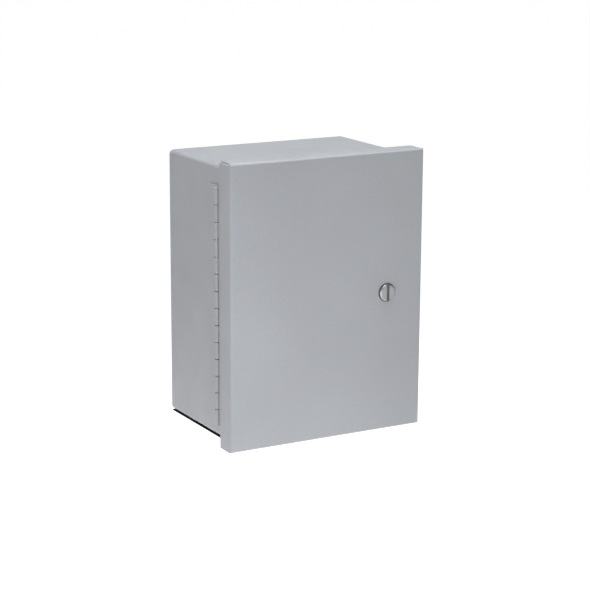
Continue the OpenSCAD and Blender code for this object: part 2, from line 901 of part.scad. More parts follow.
cabinet_wrapper();
cabinet_back();
knockout_discs();
cable_bushing();
weld_studs();
ground_nuts();
sub_panel();
panel_nuts();
hinge_body_leaf();
hinge_pin();
transformer_core();
transformer_coil();
transformer_frame();
transformer_screws();
mains_terminal();
terminal_screws();
fuse_holder();
fuse_clips();
fuse();
main_board();
hex_standoffs();
board_screws();
field_terminals();
relays();
chips();
capacitors();
heat_sink();
regulator();
buzzer();
face_plate();
face_screws();
display_board();
lcd_module();
lcd_glass();
alarm_leds();
trouble_leds();
power_led();
tact_switches();
ribbon_cable();
battery_left();
battery_right();
battery_terminals();
battery_bracket();
bracket_screws();
lead_red();
lead_black();
lead_jumper();
mains_wires();
ground_wire();
secondary_wires();
door_pan();
hinge_door_leaf();
latch_housing();
latch_nut();
latch_head();
latch_cam();
latch_screw();
button_ack();
button_silence();
button_reset();
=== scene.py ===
"""Looks of a fire alarm control panel in a steel wall cabinet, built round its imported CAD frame."""

import json
import logging
import math
import random
from dataclasses import dataclass, field
from enum import Enum
from typing import Optional, Sequence

import bmesh
import bpy
from mathutils import Matrix, Vector


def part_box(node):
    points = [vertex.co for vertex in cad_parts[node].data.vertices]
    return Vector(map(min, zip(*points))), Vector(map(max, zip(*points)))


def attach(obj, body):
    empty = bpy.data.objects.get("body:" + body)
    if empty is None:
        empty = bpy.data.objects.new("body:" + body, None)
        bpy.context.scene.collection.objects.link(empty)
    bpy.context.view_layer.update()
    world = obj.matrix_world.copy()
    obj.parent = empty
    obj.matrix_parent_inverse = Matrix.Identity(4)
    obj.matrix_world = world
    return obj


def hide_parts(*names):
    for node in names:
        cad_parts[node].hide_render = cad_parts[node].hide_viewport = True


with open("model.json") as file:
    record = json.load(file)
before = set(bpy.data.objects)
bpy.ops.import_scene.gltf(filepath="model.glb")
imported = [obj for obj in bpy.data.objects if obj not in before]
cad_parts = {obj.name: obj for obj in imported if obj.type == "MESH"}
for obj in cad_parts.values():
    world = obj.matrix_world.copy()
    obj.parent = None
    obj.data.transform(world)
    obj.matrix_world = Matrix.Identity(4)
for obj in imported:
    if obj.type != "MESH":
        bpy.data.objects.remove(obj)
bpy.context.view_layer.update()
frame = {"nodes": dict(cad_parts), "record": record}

MM = 0.001
WELD_GAP = 1e-7
CAD_WELD_GAP = 2e-6
FLAT_ANGLE = math.radians(0.6)
CREASE_ANGLE = 50
WAVE_UNITS = 20
SENSOR_WIDTH = 36.0
SIGHT_LIMIT = 50.0
LOG = logging.getLogger("panel")
RECORD = frame["record"]
BODY_OF = {node: body for body, nodes in RECORD["behaviour"]["bodies"].items() for node in nodes}
SLOT_OF = {part["node"]: part["material_slot"] for part in RECORD["subparts"]}
Point = tuple[float, float, float]
Pair = tuple[float, float]
Loop = list[Vector]
Piece = bpy.types.Object
Socket = bpy.types.NodeSocket


class Axis(Enum):
    """Row axis that a turned or swept shape lies along."""

    X = "x"
    Y = "y"
    Z = "z"


# ---------- finishes


class Shader:
    """Builds one procedural material node by node around a Principled shader."""

    def __init__(self, name: str) -> None:
        """Start a material with an empty pattern tree.

        Args:
            name: Name of the new material.
        """
        self.material = bpy.data.materials.new(name)
        self.material.use_nodes = True
        self.tree = self.material.node_tree
        self.surface = self.tree.nodes["Principled BSDF"]
        self.place = self.add("ShaderNodeTexCoord").outputs["Object"]

    def add(self, kind: str) -> bpy.types.Node:
        """Add a node."""
        return self.tree.nodes.new(kind)

    def link(self, source: Socket, target: Socket) -> None:
        """Join two sockets."""
        self.tree.links.new(source, target)

    def set(self, **values: object) -> None:
        """Set uniform values on the shader's own sockets, with _ in a name for a space."""
        for key, value in values.items():
            self.surface.inputs[key.replace("_", " ")].default_value = value

    def mapped(self, scale: Point = (1, 1, 1), move: Point = (0, 0, 0)) -> Socket:
        """Object coordinates, moved and scaled.

        Args:
            scale: Factor along each axis.
            move: Shift applied first, in metres.

        Returns:
            The vector socket.
        """
        shift = self.add("ShaderNodeVectorMath")
        shift.inputs[1].default_value = move
        self.link(self.place, shift.inputs[0])
        mapping = self.add("ShaderNodeMapping")
        mapping.inputs["Scale"].default_value = scale
        self.link(shift.outputs[0], mapping.inputs["Vector"])
        return mapping.outputs["Vector"]

    def noise(self, size: float, detail: float = 3, rough: float = 0.5,
              vector: Optional[Socket] = None) -> Socket:
        """Cloudy noise with features of about the given size.

        Args:
            size: Size of a feature in metres.
            detail: Octaves of detail.
            rough: Strength of the finer octaves.
            vector: Coordinates, or the object's own.

        Returns:
            The noise value socket.
        """
        node = self.add("ShaderNodeTexNoise")
        node.inputs["Scale"].default_value = 1 / size
        node.inputs["Detail"].default_value = detail
        node.inputs["Roughness"].default_value = rough
        self.link(vector or self.place, node.inputs["Vector"])
        return node.outputs["Fac"]

    def cells(self, size: float, colour: bool = False) -> Socket:
        """Crystal-like cells of about the given size, as distance or as a colour each."""
        node = self.add("ShaderNodeTexVoronoi")
        node.inputs["Scale"].default_value = 1 / size
        self.link(self.place, node.inputs["Vector"])
        return node.outputs["Color" if colour else "Distance"]

    def bands(self, period: float, axis: Axis, wobble: float = 0.0) -> Socket:
        """Parallel bands across an axis.

        Args:
            period: Distance between bands in metres.
            axis: Axis that the bands repeat along.
            wobble: Distortion of the bands.

        Returns:
            The band value socket.
        """
        node = self.add("ShaderNodeTexWave")
        node.bands_direction = axis.value.upper()
        node.inputs["Scale"].default_value = math.tau / WAVE_UNITS / period
        node.inputs["Distortion"].default_value = wobble
        node.inputs["Detail"].default_value = 1
        self.link(self.place, node.inputs["Vector"])
        return node.outputs["Fac"]

    def span(self, value: Socket, low: float, high: float,
             start: float = 0.0, end: float = 1.0) -> Socket:
        """Stretch a value from start..end to low..high."""
        node = self.add("ShaderNodeMapRange")
        for name, number in (("From Min", start), ("From Max", end), ("To Min", low), ("To Max", high)):
            node.inputs[name].default_value = number
        self.link(value, node.inputs["Value"])
        return node.outputs["Result"]

    def blend(self, share: Socket, first: object, second: object) -> Socket:
        """Mix two colours, each a tuple or a socket, by a share."""
        node = self.add("ShaderNodeMix")
        node.data_type = "RGBA"
        self.link(share, node.inputs[0])
        for index, colour in ((6, first), (7, second)):
            if isinstance(colour, Socket):
                self.link(colour, node.inputs[index])
            else:
                node.inputs[index].default_value = (*colour[:3], 1)
        return node.outputs[2]

    def colour(self, socket: Socket) -> None:
        """Drive the base colour."""
        self.link(socket, self.surface.inputs["Base Color"])

    def gloss(self, socket: Socket) -> None:
        """Drive the roughness."""
        self.link(socket, self.surface.inputs["Roughness"])

    def bump(self, *layers: tuple[Socket, float, float]) -> None:
        """Stack bump layers.

        Args:
            layers: Height socket, depth in metres and strength of each layer.
        """
        last: Optional[Socket] = None
        for height, depth, strength in layers:
            node = self.add("ShaderNodeBump")
            node.inputs["Distance"].default_value = depth
            node.inputs["Strength"].default_value = strength
            self.link(height, node.inputs["Height"])
            if last is not None:
                self.link(last, node.inputs["Normal"])
            last = node.outputs["Normal"]
        self.link(last, self.surface.inputs["Normal"])


def shade(colour: Sequence[float], factor: float) -> Point:
    """A colour made lighter or darker by a factor."""
    return tuple(min(1.0, channel * factor) for channel in colour[:3])


@dataclass(frozen=True)
class Finish:
    """A surface finish that becomes one material."""

    name: str
    colour: Point
    roughness: float = 0.5

    def build(self) -> bpy.types.Material:
        """Make the material.

        Returns:
            The new material.
        """
        made = Shader(self.name)
        self.dress(made)
        return made.material

    def dress(self, made: Shader) -> None:
        """Fill the shader's tree. Each kind of finish does its own."""
        raise NotImplementedError


@dataclass(frozen=True)
class Enamel(Finish):
    """Baked paint on sheet steel, with fine orange peel and slightly wavy panels."""

    peel: float = 0.0011
    peel_depth: float = 0.000035
    wave_depth: float = 0.0009
    tint: float = 0.045
    mottle: float = 0.0032
    coat: float = 0.0

    def dress(self, made: Shader) -> None:
        """Lay a cloudy tint, uneven gloss, peel and panel waves."""
        cloud = made.noise(0.16, 2)
        speck = made.noise(0.0009, 2, 0.7)
        base = made.blend(made.span(cloud, 0, 1, 0.3, 0.7), shade(self.colour, 1 - self.tint),
                          shade(self.colour, 1 + self.tint))
        grain = made.noise(self.mottle, 3, 0.7)
        base = made.blend(made.span(grain, 0, 0.16, 0.3, 0.7), base, shade(self.colour, 0.62))
        made.colour(made.blend(made.span(speck, 0, 0.10, 0.42, 0.75), base, shade(self.colour, 0.72)))
        made.gloss(made.span(made.noise(0.03, 3), self.roughness - 0.04, self.roughness + 0.06, 0.3, 0.7))
        made.set(IOR=1.5, Coat_Weight=self.coat, Coat_Roughness=0.3)
        made.bump((made.noise(0.11, 1), self.wave_depth, 0.5),
                  (made.noise(self.peel, 2, 0.55), self.peel_depth, 0.55))


@dataclass(frozen=True)
class Plated(Finish):
    """Zinc, nickel or tin plating on metal, brushed or crystalline."""

    grain: Axis = Axis.Z
    crystals: float = 0.0
    brush: float = 0.35

    def dress(self, made: Shader) -> None:
        """Lay fine drawn lines, and crystals where the plating shows them."""
        stretch = {Axis.X: (0.06, 1, 1), Axis.Y: (1, 0.06, 1), Axis.Z: (1, 1, 0.06)}[self.grain]
        lines = made.noise(0.0004, 2, 0.6, made.mapped(stretch))
        cloud = made.noise(0.012, 3)
        base = made.blend(made.span(cloud, 0, 1, 0.3, 0.7), shade(self.colour, 0.9), shade(self.colour, 1.07))
        if self.crystals:
            cell = made.cells(self.crystals, True)
            base = made.blend(made.span(cell, 0.0, 0.4), base, shade(self.colour, 0.78))
        made.colour(base)
        made.gloss(made.span(lines, self.roughness - 0.08, self.roughness + 0.12, 0.3, 0.7))
        made.set(Metallic=1.0)
        made.bump((lines, 0.00002, self.brush), (made.noise(0.004, 2), 0.00006, 0.15))


@dataclass(frozen=True)
class Moulded(Finish):
    """Moulded plastic with a fine spark-eroded grain; in near black it also makes the painted contact-shadow strip.
    """

    grain: float = 0.0006
    depth: float = 0.00003
    spread: float = 0.06

    def dress(self, made: Shader) -> None:
        """Lay a faint mottle, grain and uneven gloss."""
        mottle = made.noise(0.006, 3)
        made.colour(made.blend(made.span(mottle, 0, 1, 0.3, 0.7), shade(self.colour, 1 - self.spread),
                               shade(self.colour, 1 + self.spread)))
        made.gloss(made.span(made.noise(0.004, 3), self.roughness - 0.05, self.roughness + 0.08, 0.3, 0.7))
        made.bump((made.noise(self.grain, 2, 0.6), self.depth, 0.35))


@dataclass(frozen=True)
class Laminated(Finish):
    """Varnished electrical steel, seen as the edges of many thin plates."""

    def dress(self, made: Shader) -> None:
        """Lay dark varnish that pools and thins over the plates."""
        pool = made.noise(0.003, 4, 0.65)
        made.colour(made.blend(made.span(pool, 0, 1, 0.35, 0.68), shade(self.colour, 0.55),
                               shade(self.colour, 1.7)))
        made.gloss(made.span(pool, 0.25, 0.55, 0.3, 0.7))
        made.set(Metallic=0.65, Coat_Weight=0.4, Coat_Roughness=0.2)
        made.bump((made.noise(0.0007, 3), 0.00005, 0.5))


@dataclass(frozen=True)
class Tape(Finish):
    """Glossy polyester tape wound in overlapping turns."""

    def dress(self, made: Shader) -> None:
        """Lay overlapping turns and the shade of the wire beneath."""
        turns = made.bands(0.0062, Axis.Z, 0.6)
        wire = made.bands(0.0009, Axis.Z, 0.2)
        made.colour(made.blend(made.span(turns, 0, 0.5), self.colour, shade(self.colour, 0.62)))
        made.gloss(made.span(made.noise(0.002, 3), 0.18, 0.36, 0.3, 0.7))
        made.set(Coat_Weight=0.5, Coat_Roughness=0.1)
        made.bump((turns, 0.00015, 0.5), (wire, 0.00006, 0.35))


@dataclass(frozen=True)
class BoardMask(Finish):
    """Solder mask over woven glass board, with copper pour showing through."""

    def dress(self, made: Shader) -> None:
        """Lay weave, copper pour patches and a smooth mask."""
        weave = made.bands(0.0008, Axis.X)
        weft = made.bands(0.0008, Axis.Z)
        pour = made.noise(0.018, 1, 0.2)
        base = made.blend(made.span(pour, 0, 1, 0.49, 0.51), self.colour, shade(self.colour, 1.75))
        made.colour(made.blend(made.span(weave, 0, 0.22), base, shade(self.colour, 0.7)))
        made.gloss(made.span(made.noise(0.002, 2), 0.22, 0.36, 0.3, 0.7))
        made.set(Coat_Weight=0.3, Coat_Roughness=0.15)
        made.bump((weave, 0.00001, 0.4), (weft, 0.00001, 0.4), (made.noise(0.018, 1, 0.2), 0.0001, 0.2))


@dataclass(frozen=True)
class Lens(Finish):
    """Diffused coloured lens of an indicator lamp."""

    def dress(self, made: Shader) -> None:
        """Lay a deep colour under a clear smooth skin."""
        haze = made.noise(0.0015, 2)
        made.colour(made.blend(made.span(haze, 0, 1, 0.35, 0.65), shade(self.colour, 0.85),
                               shade(self.colour, 1.2)))
        made.gloss(made.span(haze, self.roughness - 0.03, self.roughness + 0.06))
        made.set(Coat_Weight=0.6, Coat_Roughness=0.06, Subsurface_Weight=0.15, Subsurface_Scale=0.002)


@dataclass(frozen=True)
class CrystalCell(Finish):
    """Reflective liquid crystal display with its dot matrix just visible."""

    def dress(self, made: Shader) -> None:
        """Lay rows of character cells as faint darker blocks of dots."""
        brick = made.add("ShaderNodeTexBrick")
        brick.offset = 0.0
        for name, number in (("Scale", 1.0), ("Mortar Size", 0.0005), ("Brick Width", 0.0038),
                             ("Row Height", 0.0092), ("Mortar Smooth", 0.1)):
            brick.inputs[name].default_value = number
        turn = made.add("ShaderNodeMapping")
        turn.inputs["Rotation"].default_value = (-math.pi / 2, 0, 0)
        turn.inputs["Location"].default_value = (0.0011, -0.0032, 0)
        made.link(made.place, turn.inputs["Vector"])
        made.link(turn.outputs["Vector"], brick.inputs["Vector"])
        cell = made.blend(made.span(made.bands(0.00064, Axis.X), 0, 0.5), shade(self.colour, 0.86),
                          shade(self.colour, 0.8))
        made.colour(made.blend(brick.outputs["Fac"], cell, self.colour))
        made.gloss(made.span(made.noise(0.02, 2), 0.08, 0.16))
        made.set(Coat_Weight=1.0, Coat_Roughness=0.03)


@dataclass(frozen=True)
class ClearGlass(Finish):
    """Thin clear glass tube."""

    def dress(self, made: Shader) -> None:
        """Make it clear with a faint smear in its gloss."""
        made.colour(made.blend(made.noise(0.003, 2), self.colour, shade(self.colour, 0.97)))
        made.gloss(made.span(made.noise(0.002, 2), 0.01, 0.07))
        made.set(Transmission_Weight=1.0, IOR=1.45)


class Palette:
    """Every finish of the panel by material slot, made once when first asked for."""

    FINISHES: dict[str, Finish] = {
        "cabinet_paint": Enamel("cabinet_enamel", (0.345, 0.3575, 0.380), 0.40),
        "zinc_plate": Plated("zinc_sheet", (0.60, 0.61, 0.60), 0.36, Axis.Z, 0.007),
        "bright_fastener": Plated("bright_zinc", (0.72, 0.72, 0.71), 0.24, Axis.Y),
        # Dark plating; the latch head also takes it on its slot's floor and left wall as painted shade.
        "dark_zinc": Plated("dark_zinc_and_slot_shade", (0.19, 0.19, 0.195), 0.5, Axis.Z),
        "latch_plate": Plated("satin_nickel", (0.40, 0.40, 0.405), 0.40, Axis.Z, 0.0, 0.5),
        "lamination_steel": Laminated("varnished_laminations", (0.10, 0.10, 0.11)),
        "winding_tape": Tape("winding_tape", (0.72, 0.50, 0.09)),
        "black_plastic": Moulded("black_moulding", (0.022, 0.022, 0.024), 0.42),
        "component_black": Moulded("epoxy_black", (0.018, 0.018, 0.019), 0.5, 0.0004, 0.00002),
        "board_green": BoardMask("solder_mask", (0.010, 0.105, 0.040)),
        "terminal_green": Moulded("terminal_green", (0.020, 0.215, 0.075), 0.4),
        "relay_blue": Moulded("relay_blue", (0.015, 0.065, 0.30), 0.25, 0.0008, 0.00001),
        "capacitor_sleeve": Moulded("shrunk_sleeve", (0.012, 0.015, 0.055), 0.22, 0.0012, 0.00002),
        "black_aluminium": Plated("black_anodised", (0.035, 0.035, 0.038), 0.42, Axis.Y),
        "face_paint": Enamel("charcoal_powder", (0.030, 0.033, 0.040), 0.48, 0.0008, 0.00006, 0.0002, 0.06),
        "lcd_film": CrystalCell("display_cell", (0.24, 0.33, 0.07)),
        "led_red": Lens("red_lens", (0.50, 0.008, 0.006), 0.16),
        "led_amber": Lens("amber_lens", (0.74, 0.30, 0.01), 0.16),
        "led_green": Lens("green_lens", (0.015, 0.33, 0.05), 0.16),
        "button_grey": Moulded("grey_cap", (0.42, 0.42, 0.40), 0.42),
        "button_amber": Moulded("amber_cap", (0.66, 0.30, 0.02), 0.42),
        "button_red": Moulded("red_cap", (0.40, 0.018, 0.014), 0.42),
        "battery_case": Moulded("battery_abs", (0.034, 0.037, 0.045), 0.38, 0.0009, 0.00005),
        "tinned_brass": Plated("tinned_brass", (0.66, 0.58, 0.38), 0.28, Axis.Z),
        "fuse_glass": ClearGlass("fuse_glass", (0.9, 0.93, 0.93)),
        "ribbon_grey": Moulded("ribbon_grey", (0.30, 0.30, 0.315), 0.45),
        "wire_red": Moulded("red_pvc", (0.43, 0.010, 0.010), 0.36),
        "wire_black": Moulded("black_pvc", (0.016, 0.016, 0.018), 0.36),
        "wire_blue": Moulded("blue_pvc", (0.010, 0.045, 0.33), 0.36),
        "wire_green": Moulded("green_pvc", (0.010, 0.22, 0.035), 0.36),
        "wire_yellow": Moulded("yellow_pvc", (0.62, 0.44, 0.02), 0.36),
        "copper_track": Plated("masked_copper", (0.03, 0.21, 0.07), 0.30, Axis.X),
        "solder": Plated("solder", (0.62, 0.62, 0.60), 0.22, Axis.Y),
        "legend_white": Moulded("legend_white", (0.56, 0.56, 0.54), 0.5),
        "ceramic_tan": Moulded("ceramic_tan", (0.36, 0.24, 0.12), 0.4),
    }
    SHARED_SLOT = {"copper_track": "board_green", "solder": "bright_fastener", "legend_white": "face_paint",
                   "ceramic_tan": "component_black"}

    def __init__(self) -> None:
        """Start with nothing made."""
        self._made: dict[str, bpy.types.Material] = {}

    def get(self, slot: str) -> bpy.types.Material:
        """The material of a slot or of an extra finish."""
        if slot not in self._made:
            self._made[slot] = self.FINISHES[slot].build()
        return self._made[slot]


PALETTE = Palette()


# ---------- mesh work


class Shop:
    """Makes meshes and turns them into finished pieces."""

    @staticmethod
    def raise_object(name: str, data: bpy.types.ID) -> Piece:
        """Put a mesh, a light or a camera in the scene.

        Args:
            name: Name of the object.
            data: Its mesh, light or camera data.

        Returns:
            The new object at the origin.
        """
        piece = bpy.data.objects.new(name, data)
        bpy.context.scene.collection.objects.link(piece)
        return piece

    @classmethod
    def keep(cls, name: str, work: bmesh.types.BMesh) -> Piece:
        """Turn a bmesh into an object as it is."""
        mesh = bpy.data.meshes.new(name)
        work.to_mesh(mesh)
        work.free()
        return cls.raise_object(name, mesh)

    @classmethod
    def from_bmesh(cls, name: str, work: bmesh.types.BMesh) -> Piece:
        """Close a bmesh into an object with outward faces."""
        bmesh.ops.remove_doubles(work, verts=work.verts, dist=WELD_GAP)
        bmesh.ops.recalc_face_normals(work, faces=work.faces)
        return cls.keep(name, work)

    @staticmethod
    def smooth(piece: Piece, angle: float = CREASE_ANGLE) -> Piece:
        """Shade a piece smooth, with creases where faces meet at more than the angle in degrees."""
        for polygon in piece.data.polygons:
            polygon.use_smooth = True
        piece.data.set_sharp_from_angle(angle=math.radians(angle))
        return piece

    @staticmethod
    def evaluated(piece: Piece) -> bpy.types.Mesh:
        """The mesh of an object as its modifiers leave it."""
        graph = bpy.context.evaluated_depsgraph_get()
        return bpy.data.meshes.new_from_object(piece.evaluated_get(graph), depsgraph=graph)

    @classmethod
    def apply(cls, piece: Piece) -> Piece:
        """Bake an object's modifiers into its mesh."""
        mesh = cls.evaluated(piece)
        old = piece.data
        piece.modifiers.clear()
        piece.data = mesh
        if old.users == 0:
            bpy.data.meshes.remove(old)
        return piece

    @classmethod
    def soften(cls, piece: Piece, width: float, segments: int = 2,
               angle: float = 32) -> Piece:
        """Round a piece's sharp edges and weight its normals.

        Args:
            piece: The piece.
            width: Width of the rounding in metres.
            segments: Steps across the rounding.
            angle: Smallest angle between faces that is rounded, in degrees.

        Returns:
            The same piece.
        """
        for polygon in piece.data.polygons:
            polygon.use_smooth = True
        if width:
            bevel = piece.modifiers.new("edge", "BEVEL")
            bevel.width, bevel.segments = width, segments
            bevel.limit_method, bevel.angle_limit = "ANGLE", math.radians(angle)
            bevel.use_clamp_overlap, bevel.loop_slide = True, True
            bevel.miter_outer = "MITER_ARC"
            cls.apply(piece)
        piece.data.set_sharp_from_angle(angle=math.radians(CREASE_ANGLE))
        weighted = piece.modifiers.new("normals", "WEIGHTED_NORMAL")
        weighted.keep_sharp, weighted.weight = True, 70
        return cls.apply(piece)

    @classmethod
    def cad_copy(cls, node: str, width: float, segments: int = 2) -> Piece:
        """Copy a CAD node, join its loose triangles and round its edges.

        Args:
            node: CAD node to copy.
            width: Rounding of its edges in metres.
            segments: Steps across the rounding.

        Returns:
            The finished copy, named after its node.
        """
        work = bmesh.new()
        work.from_mesh(frame["nodes"][node].data)
        bmesh.ops.remove_doubles(work, verts=work.verts, dist=CAD_WELD_GAP)
        bmesh.ops.join_triangles(work, faces=work.faces, angle_face_threshold=FLAT_ANGLE,
                                 angle_shape_threshold=math.pi)
        return cls.soften(cls.keep(node + "_shell", work), width, segments)

    @classmethod
    def cut(cls, piece: Piece, tools: Sequence[Piece],
            operation: str = "DIFFERENCE") -> Piece:
        """Cut tool solids out of a piece, or add them to it, and drop the tools.

        Args:
            piece: The piece to cut.
            tools: Solids taken away from it.
            operation: DIFFERENCE to take away, UNION to add.

        Returns:
            The same piece.
        """
        for tool in tools:
            knife = piece.modifiers.new("cut", "BOOLEAN")
            knife.operation, knife.solver, knife.object = operation, "EXACT", tool
        cls.apply(piece)
        for tool in tools:
            bpy.data.objects.remove(tool)
        return piece

    @classmethod
    def block(cls, name: str, low: Sequence[float], high: Sequence[float], width: float = 0.0,
              segments: int = 2) -> Piece:
        """A solid between two corners in millimetres, with rounded edges.

        Args:
            name: Name of the piece.
            low: Lowest corner.
            high: Highest corner.
            width: Rounding in millimetres.
            segments: Steps across the rounding.

        Returns:
            The new piece.
        """
        work = bmesh.new()
        bmesh.ops.create_cube(work, size=1.0)
        for vert in work.verts:
            vert.co = Vector([((a + b) / 2 + c * (b - a)) * MM for a, b, c in zip(low, high, vert.co)])
        piece = cls.from_bmesh(name, work)
        return cls.soften(piece, width * MM, segments) if width else piece

    @classmethod
    def lathe(cls, name: str, outline: Sequence[Pair], centre: Sequence[float],
              axis: Axis = Axis.Y, steps: int = 48) -> Piece:
        """Turn an outline round an axis.

        Args:
            name: Name of the piece.
            outline: Radius and distance along the axis, in millimetres, closed on the axis or as a ring.
            centre: Point on the axis in millimetres that distances count from.
            axis: Axis of turning. Along Y, distances run to the front, which is -Y.
            steps: Facets round the axis.

        Returns:
            The new piece.
        """
        work = bmesh.new()
        closed = outline[0][0] > 1e-9 or outline[-1][0] > 1e-9
        rings = []
        for radius, along in outline:
            ring = []
            for k in range(steps if radius > 1e-9 else 1):
                a = math.tau * k / steps
                c, s = radius * math.cos(a), radius * math.sin(a)
                local = {Axis.Y: (c, -along, s), Axis.Z: (c, s, along), Axis.X: (along, c, s)}[axis]
                ring.append(work.verts.new([(p + q) * MM for p, q in zip(local, centre)]))
            rings.append(ring)
        pairs = list(zip(rings, rings[1:])) + ([(rings[-1], rings[0])] if closed else [])
        for first, second in pairs:
            for k in range(steps):
                corners = [first[k % len(first)], first[(k + 1) % len(first)],
                           second[(k + 1) % len(second)], second[k % len(second)]]
                unique = list(dict.fromkeys(corners))
                if len(unique) > 2:
                    work.faces.new(unique)
        return cls.smooth(cls.from_bmesh(name, work), 35)

    @classmethod
    def loft(cls, name: str, loops: Sequence[Loop], ring: bool = False) -> Piece:
        """Join closed loops of equal length into a tube, capped or joined end to end.

        Args:
            name: Name of the piece.
            loops: Closed loops of points in metres.
            ring: Join the last loop to the first instead of capping both.

        Returns:
            The new piece.
        """
        work = bmesh.new()
        rows = [[work.verts.new(p) for p in loop] for loop in loops]
        count = len(rows[0])
        pairs = list(zip(rows, rows[1:])) + ([(rows[-1], rows[0])] if ring else [])
        for first, second in pairs:
            for k in range(count):
                work.faces.new([first[k], first[(k + 1) % count], second[(k + 1) % count], second[k]])
        if not ring:
            work.faces.new(rows[0])
            work.faces.new(rows[-1])
        return cls.from_bmesh(name, work)

    @classmethod
    def prism(cls, name: str, outline: Sequence[Pair], low: float, high: float,
              axis: Axis = Axis.Z) -> Piece:
        """Extrude an outline in millimetres.

        Args:
            name: Name of the piece.
            outline: The two coordinates other than the axis, in the order X, Y, Z.
            low: Start along the axis.
            high: End along the axis.
            axis: Axis of the extrusion.

        Returns:
            The new piece.
        """
        spot = ["X", "Y", "Z"].index(axis.name)
        loops = []
        for along in (low, high):
            loop = []
            for pair in outline:
                point = list(pair)
                point.insert(spot, along)
                loop.append(Vector(point) * MM)
            loops.append(loop)
        return cls.loft(name, loops)

    @classmethod
    def hoop(cls, name: str, centre: Pair, half: Pair, radius: float, line: float,
             front: float, rear: float) -> Piece:
        """A thin rounded frame that faces the front.

        Args:
            name: Name of the piece.
            centre: Its middle across and up, in millimetres.
            half: Half its width and height.
            radius: Corner radius.
            line: Width of its line.
            front: Its front face.
            rear: Its rear face.

        Returns:
            The new piece.
        """
        loops = []
        for inset, y in ((0, front), (0, rear), (line, rear), (line, front)):
            outline = rounded_outline(half[0] - inset, half[1] - inset, max(radius - inset, 0.05), 6)
            loops.append([Vector((centre[0] + a, y, centre[1] + b)) * MM for a, b in outline])
        return cls.loft(name, loops, True)

    @classmethod
    def join(cls, name: str, parts: Sequence[Piece]) -> Piece:
        """Join pieces of one finish into one mesh.

        Args:
            name: Name of the joined piece.
            parts: Pieces to join.

        Returns:
            The joined piece.
        """
        work = bmesh.new()
        for part in parts:
            work.from_mesh(part.data)
            bpy.data.objects.remove(part)
        return cls.keep(name, work)


def finish_piece(piece: Piece, nodes: Sequence[str], body: Optional[str] = None,
                 finish: Optional[str] = None) -> Piece:
    """Dress a piece, let it ride on its body and stand for its CAD nodes.

    Args:
        piece: The piece.
        nodes: CAD nodes that it replaces, which may be none.
        body: Body it rides on, or that of its first node.
        finish: Finish name, or the slot of its first node.

    Returns:
        The same piece.
    """
    slot = finish or SLOT_OF[nodes[0]]
    piece.data.materials.clear()
    piece.data.materials.append(PALETTE.get(slot))
    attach(piece, body or BODY_OF[nodes[0]])
    if nodes:
        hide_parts(*nodes)
    Palette.SHARED_SLOT.get(slot, slot)
    LOG.info("%s: %d faces, %s, rides on %s", piece.name, len(piece.data.polygons), slot,
             body or BODY_OF[nodes[0]])
    return piece


def trim(piece: Piece, finish: str) -> Piece:
    """Dress a detail that stands for no CAD node and rides on the cabinet."""
    return finish_piece(piece, [], "cabinet", finish)


# ---------- geometry nodes


class NodeTree:
    """A Geometry Nodes tree that ends in Realize Instances and Set Material."""

    def __init__(self, name: str) -> None:
        """Start a tree with a geometry input and a finish input."""
        self.tree = bpy.data.node_groups.new(name, "GeometryNodeTree")
        self.sockets: dict[str, str] = {}
        self.tree.interface.new_socket("Geometry", in_out="INPUT", socket_type="NodeSocketGeometry")
        self.tree.interface.new_socket("Geometry", in_out="OUTPUT", socket_type="NodeSocketGeometry")
        self.entry = self.tree.nodes.new("NodeGroupInput")
        self.input("Finish", "NodeSocketMaterial")

    def input(self, name: str, kind: str) -> None:
        """Add a named input."""
        self.sockets[name] = self.tree.interface.new_socket(name, in_out="INPUT", socket_type=kind).identifier

    def node(self, kind: str, **links: object) -> bpy.types.Node:
        """Add a node and feed its inputs.

        Args:
            kind: Node type.
            links: Input names, with _ for a space, and a socket or a value for each.

        Returns:
            The new node.
        """
        made = self.tree.nodes.new(kind)
        for key, value in links.items():
            target = made.inputs[key.replace("_", " ")]
            if isinstance(value, Socket):
                self.tree.links.new(value, target)
            else:
                target.default_value = value
        return made

    def attribute(self, name: str) -> Socket:
        """Read a named vector of each point."""
        made = self.tree.nodes.new("GeometryNodeInputNamedAttribute")
        made.data_type = "FLOAT_VECTOR"
        made.inputs["Name"].default_value = name
        return made.outputs["Attribute"]

    def close(self, geometry: Socket) -> None:
        """End the tree in Realize Instances and Set Material."""
        real = self.node("GeometryNodeRealizeInstances", Geometry=geometry)
        last = self.node("GeometryNodeSetMaterial", Geometry=real.outputs[0],
                         Material=self.entry.outputs["Finish"])
        out = self.tree.nodes.new("NodeGroupOutput")
        self.tree.links.new(last.outputs[0], out.inputs["Geometry"])

    def run(self, name: str, carrier: Piece, drop: Sequence[Piece] = (),
            **values: object) -> Piece:
        """Run the tree on a carrier and keep the result as a plain mesh.

        Args:
            name: Name of the result.
            carrier: Object that carries the points or path, dropped afterwards.
            drop: Other helper objects to drop.
            values: Value of each named input, with _ for a space.

        Returns:
            The new plain piece.
        """
        modifier = carrier.modifiers.new("nodes", "NODES")
        modifier.node_group = self.tree
        for key, value in values.items():
            modifier[self.sockets[key.replace("_", " ")]] = value
        bpy.context.view_layer.update()
        mesh = Shop.evaluated(carrier)
        mesh.name = name
        for helper in (carrier, *drop):
            bpy.data.objects.remove(helper)
        return Shop.raise_object(name, mesh)


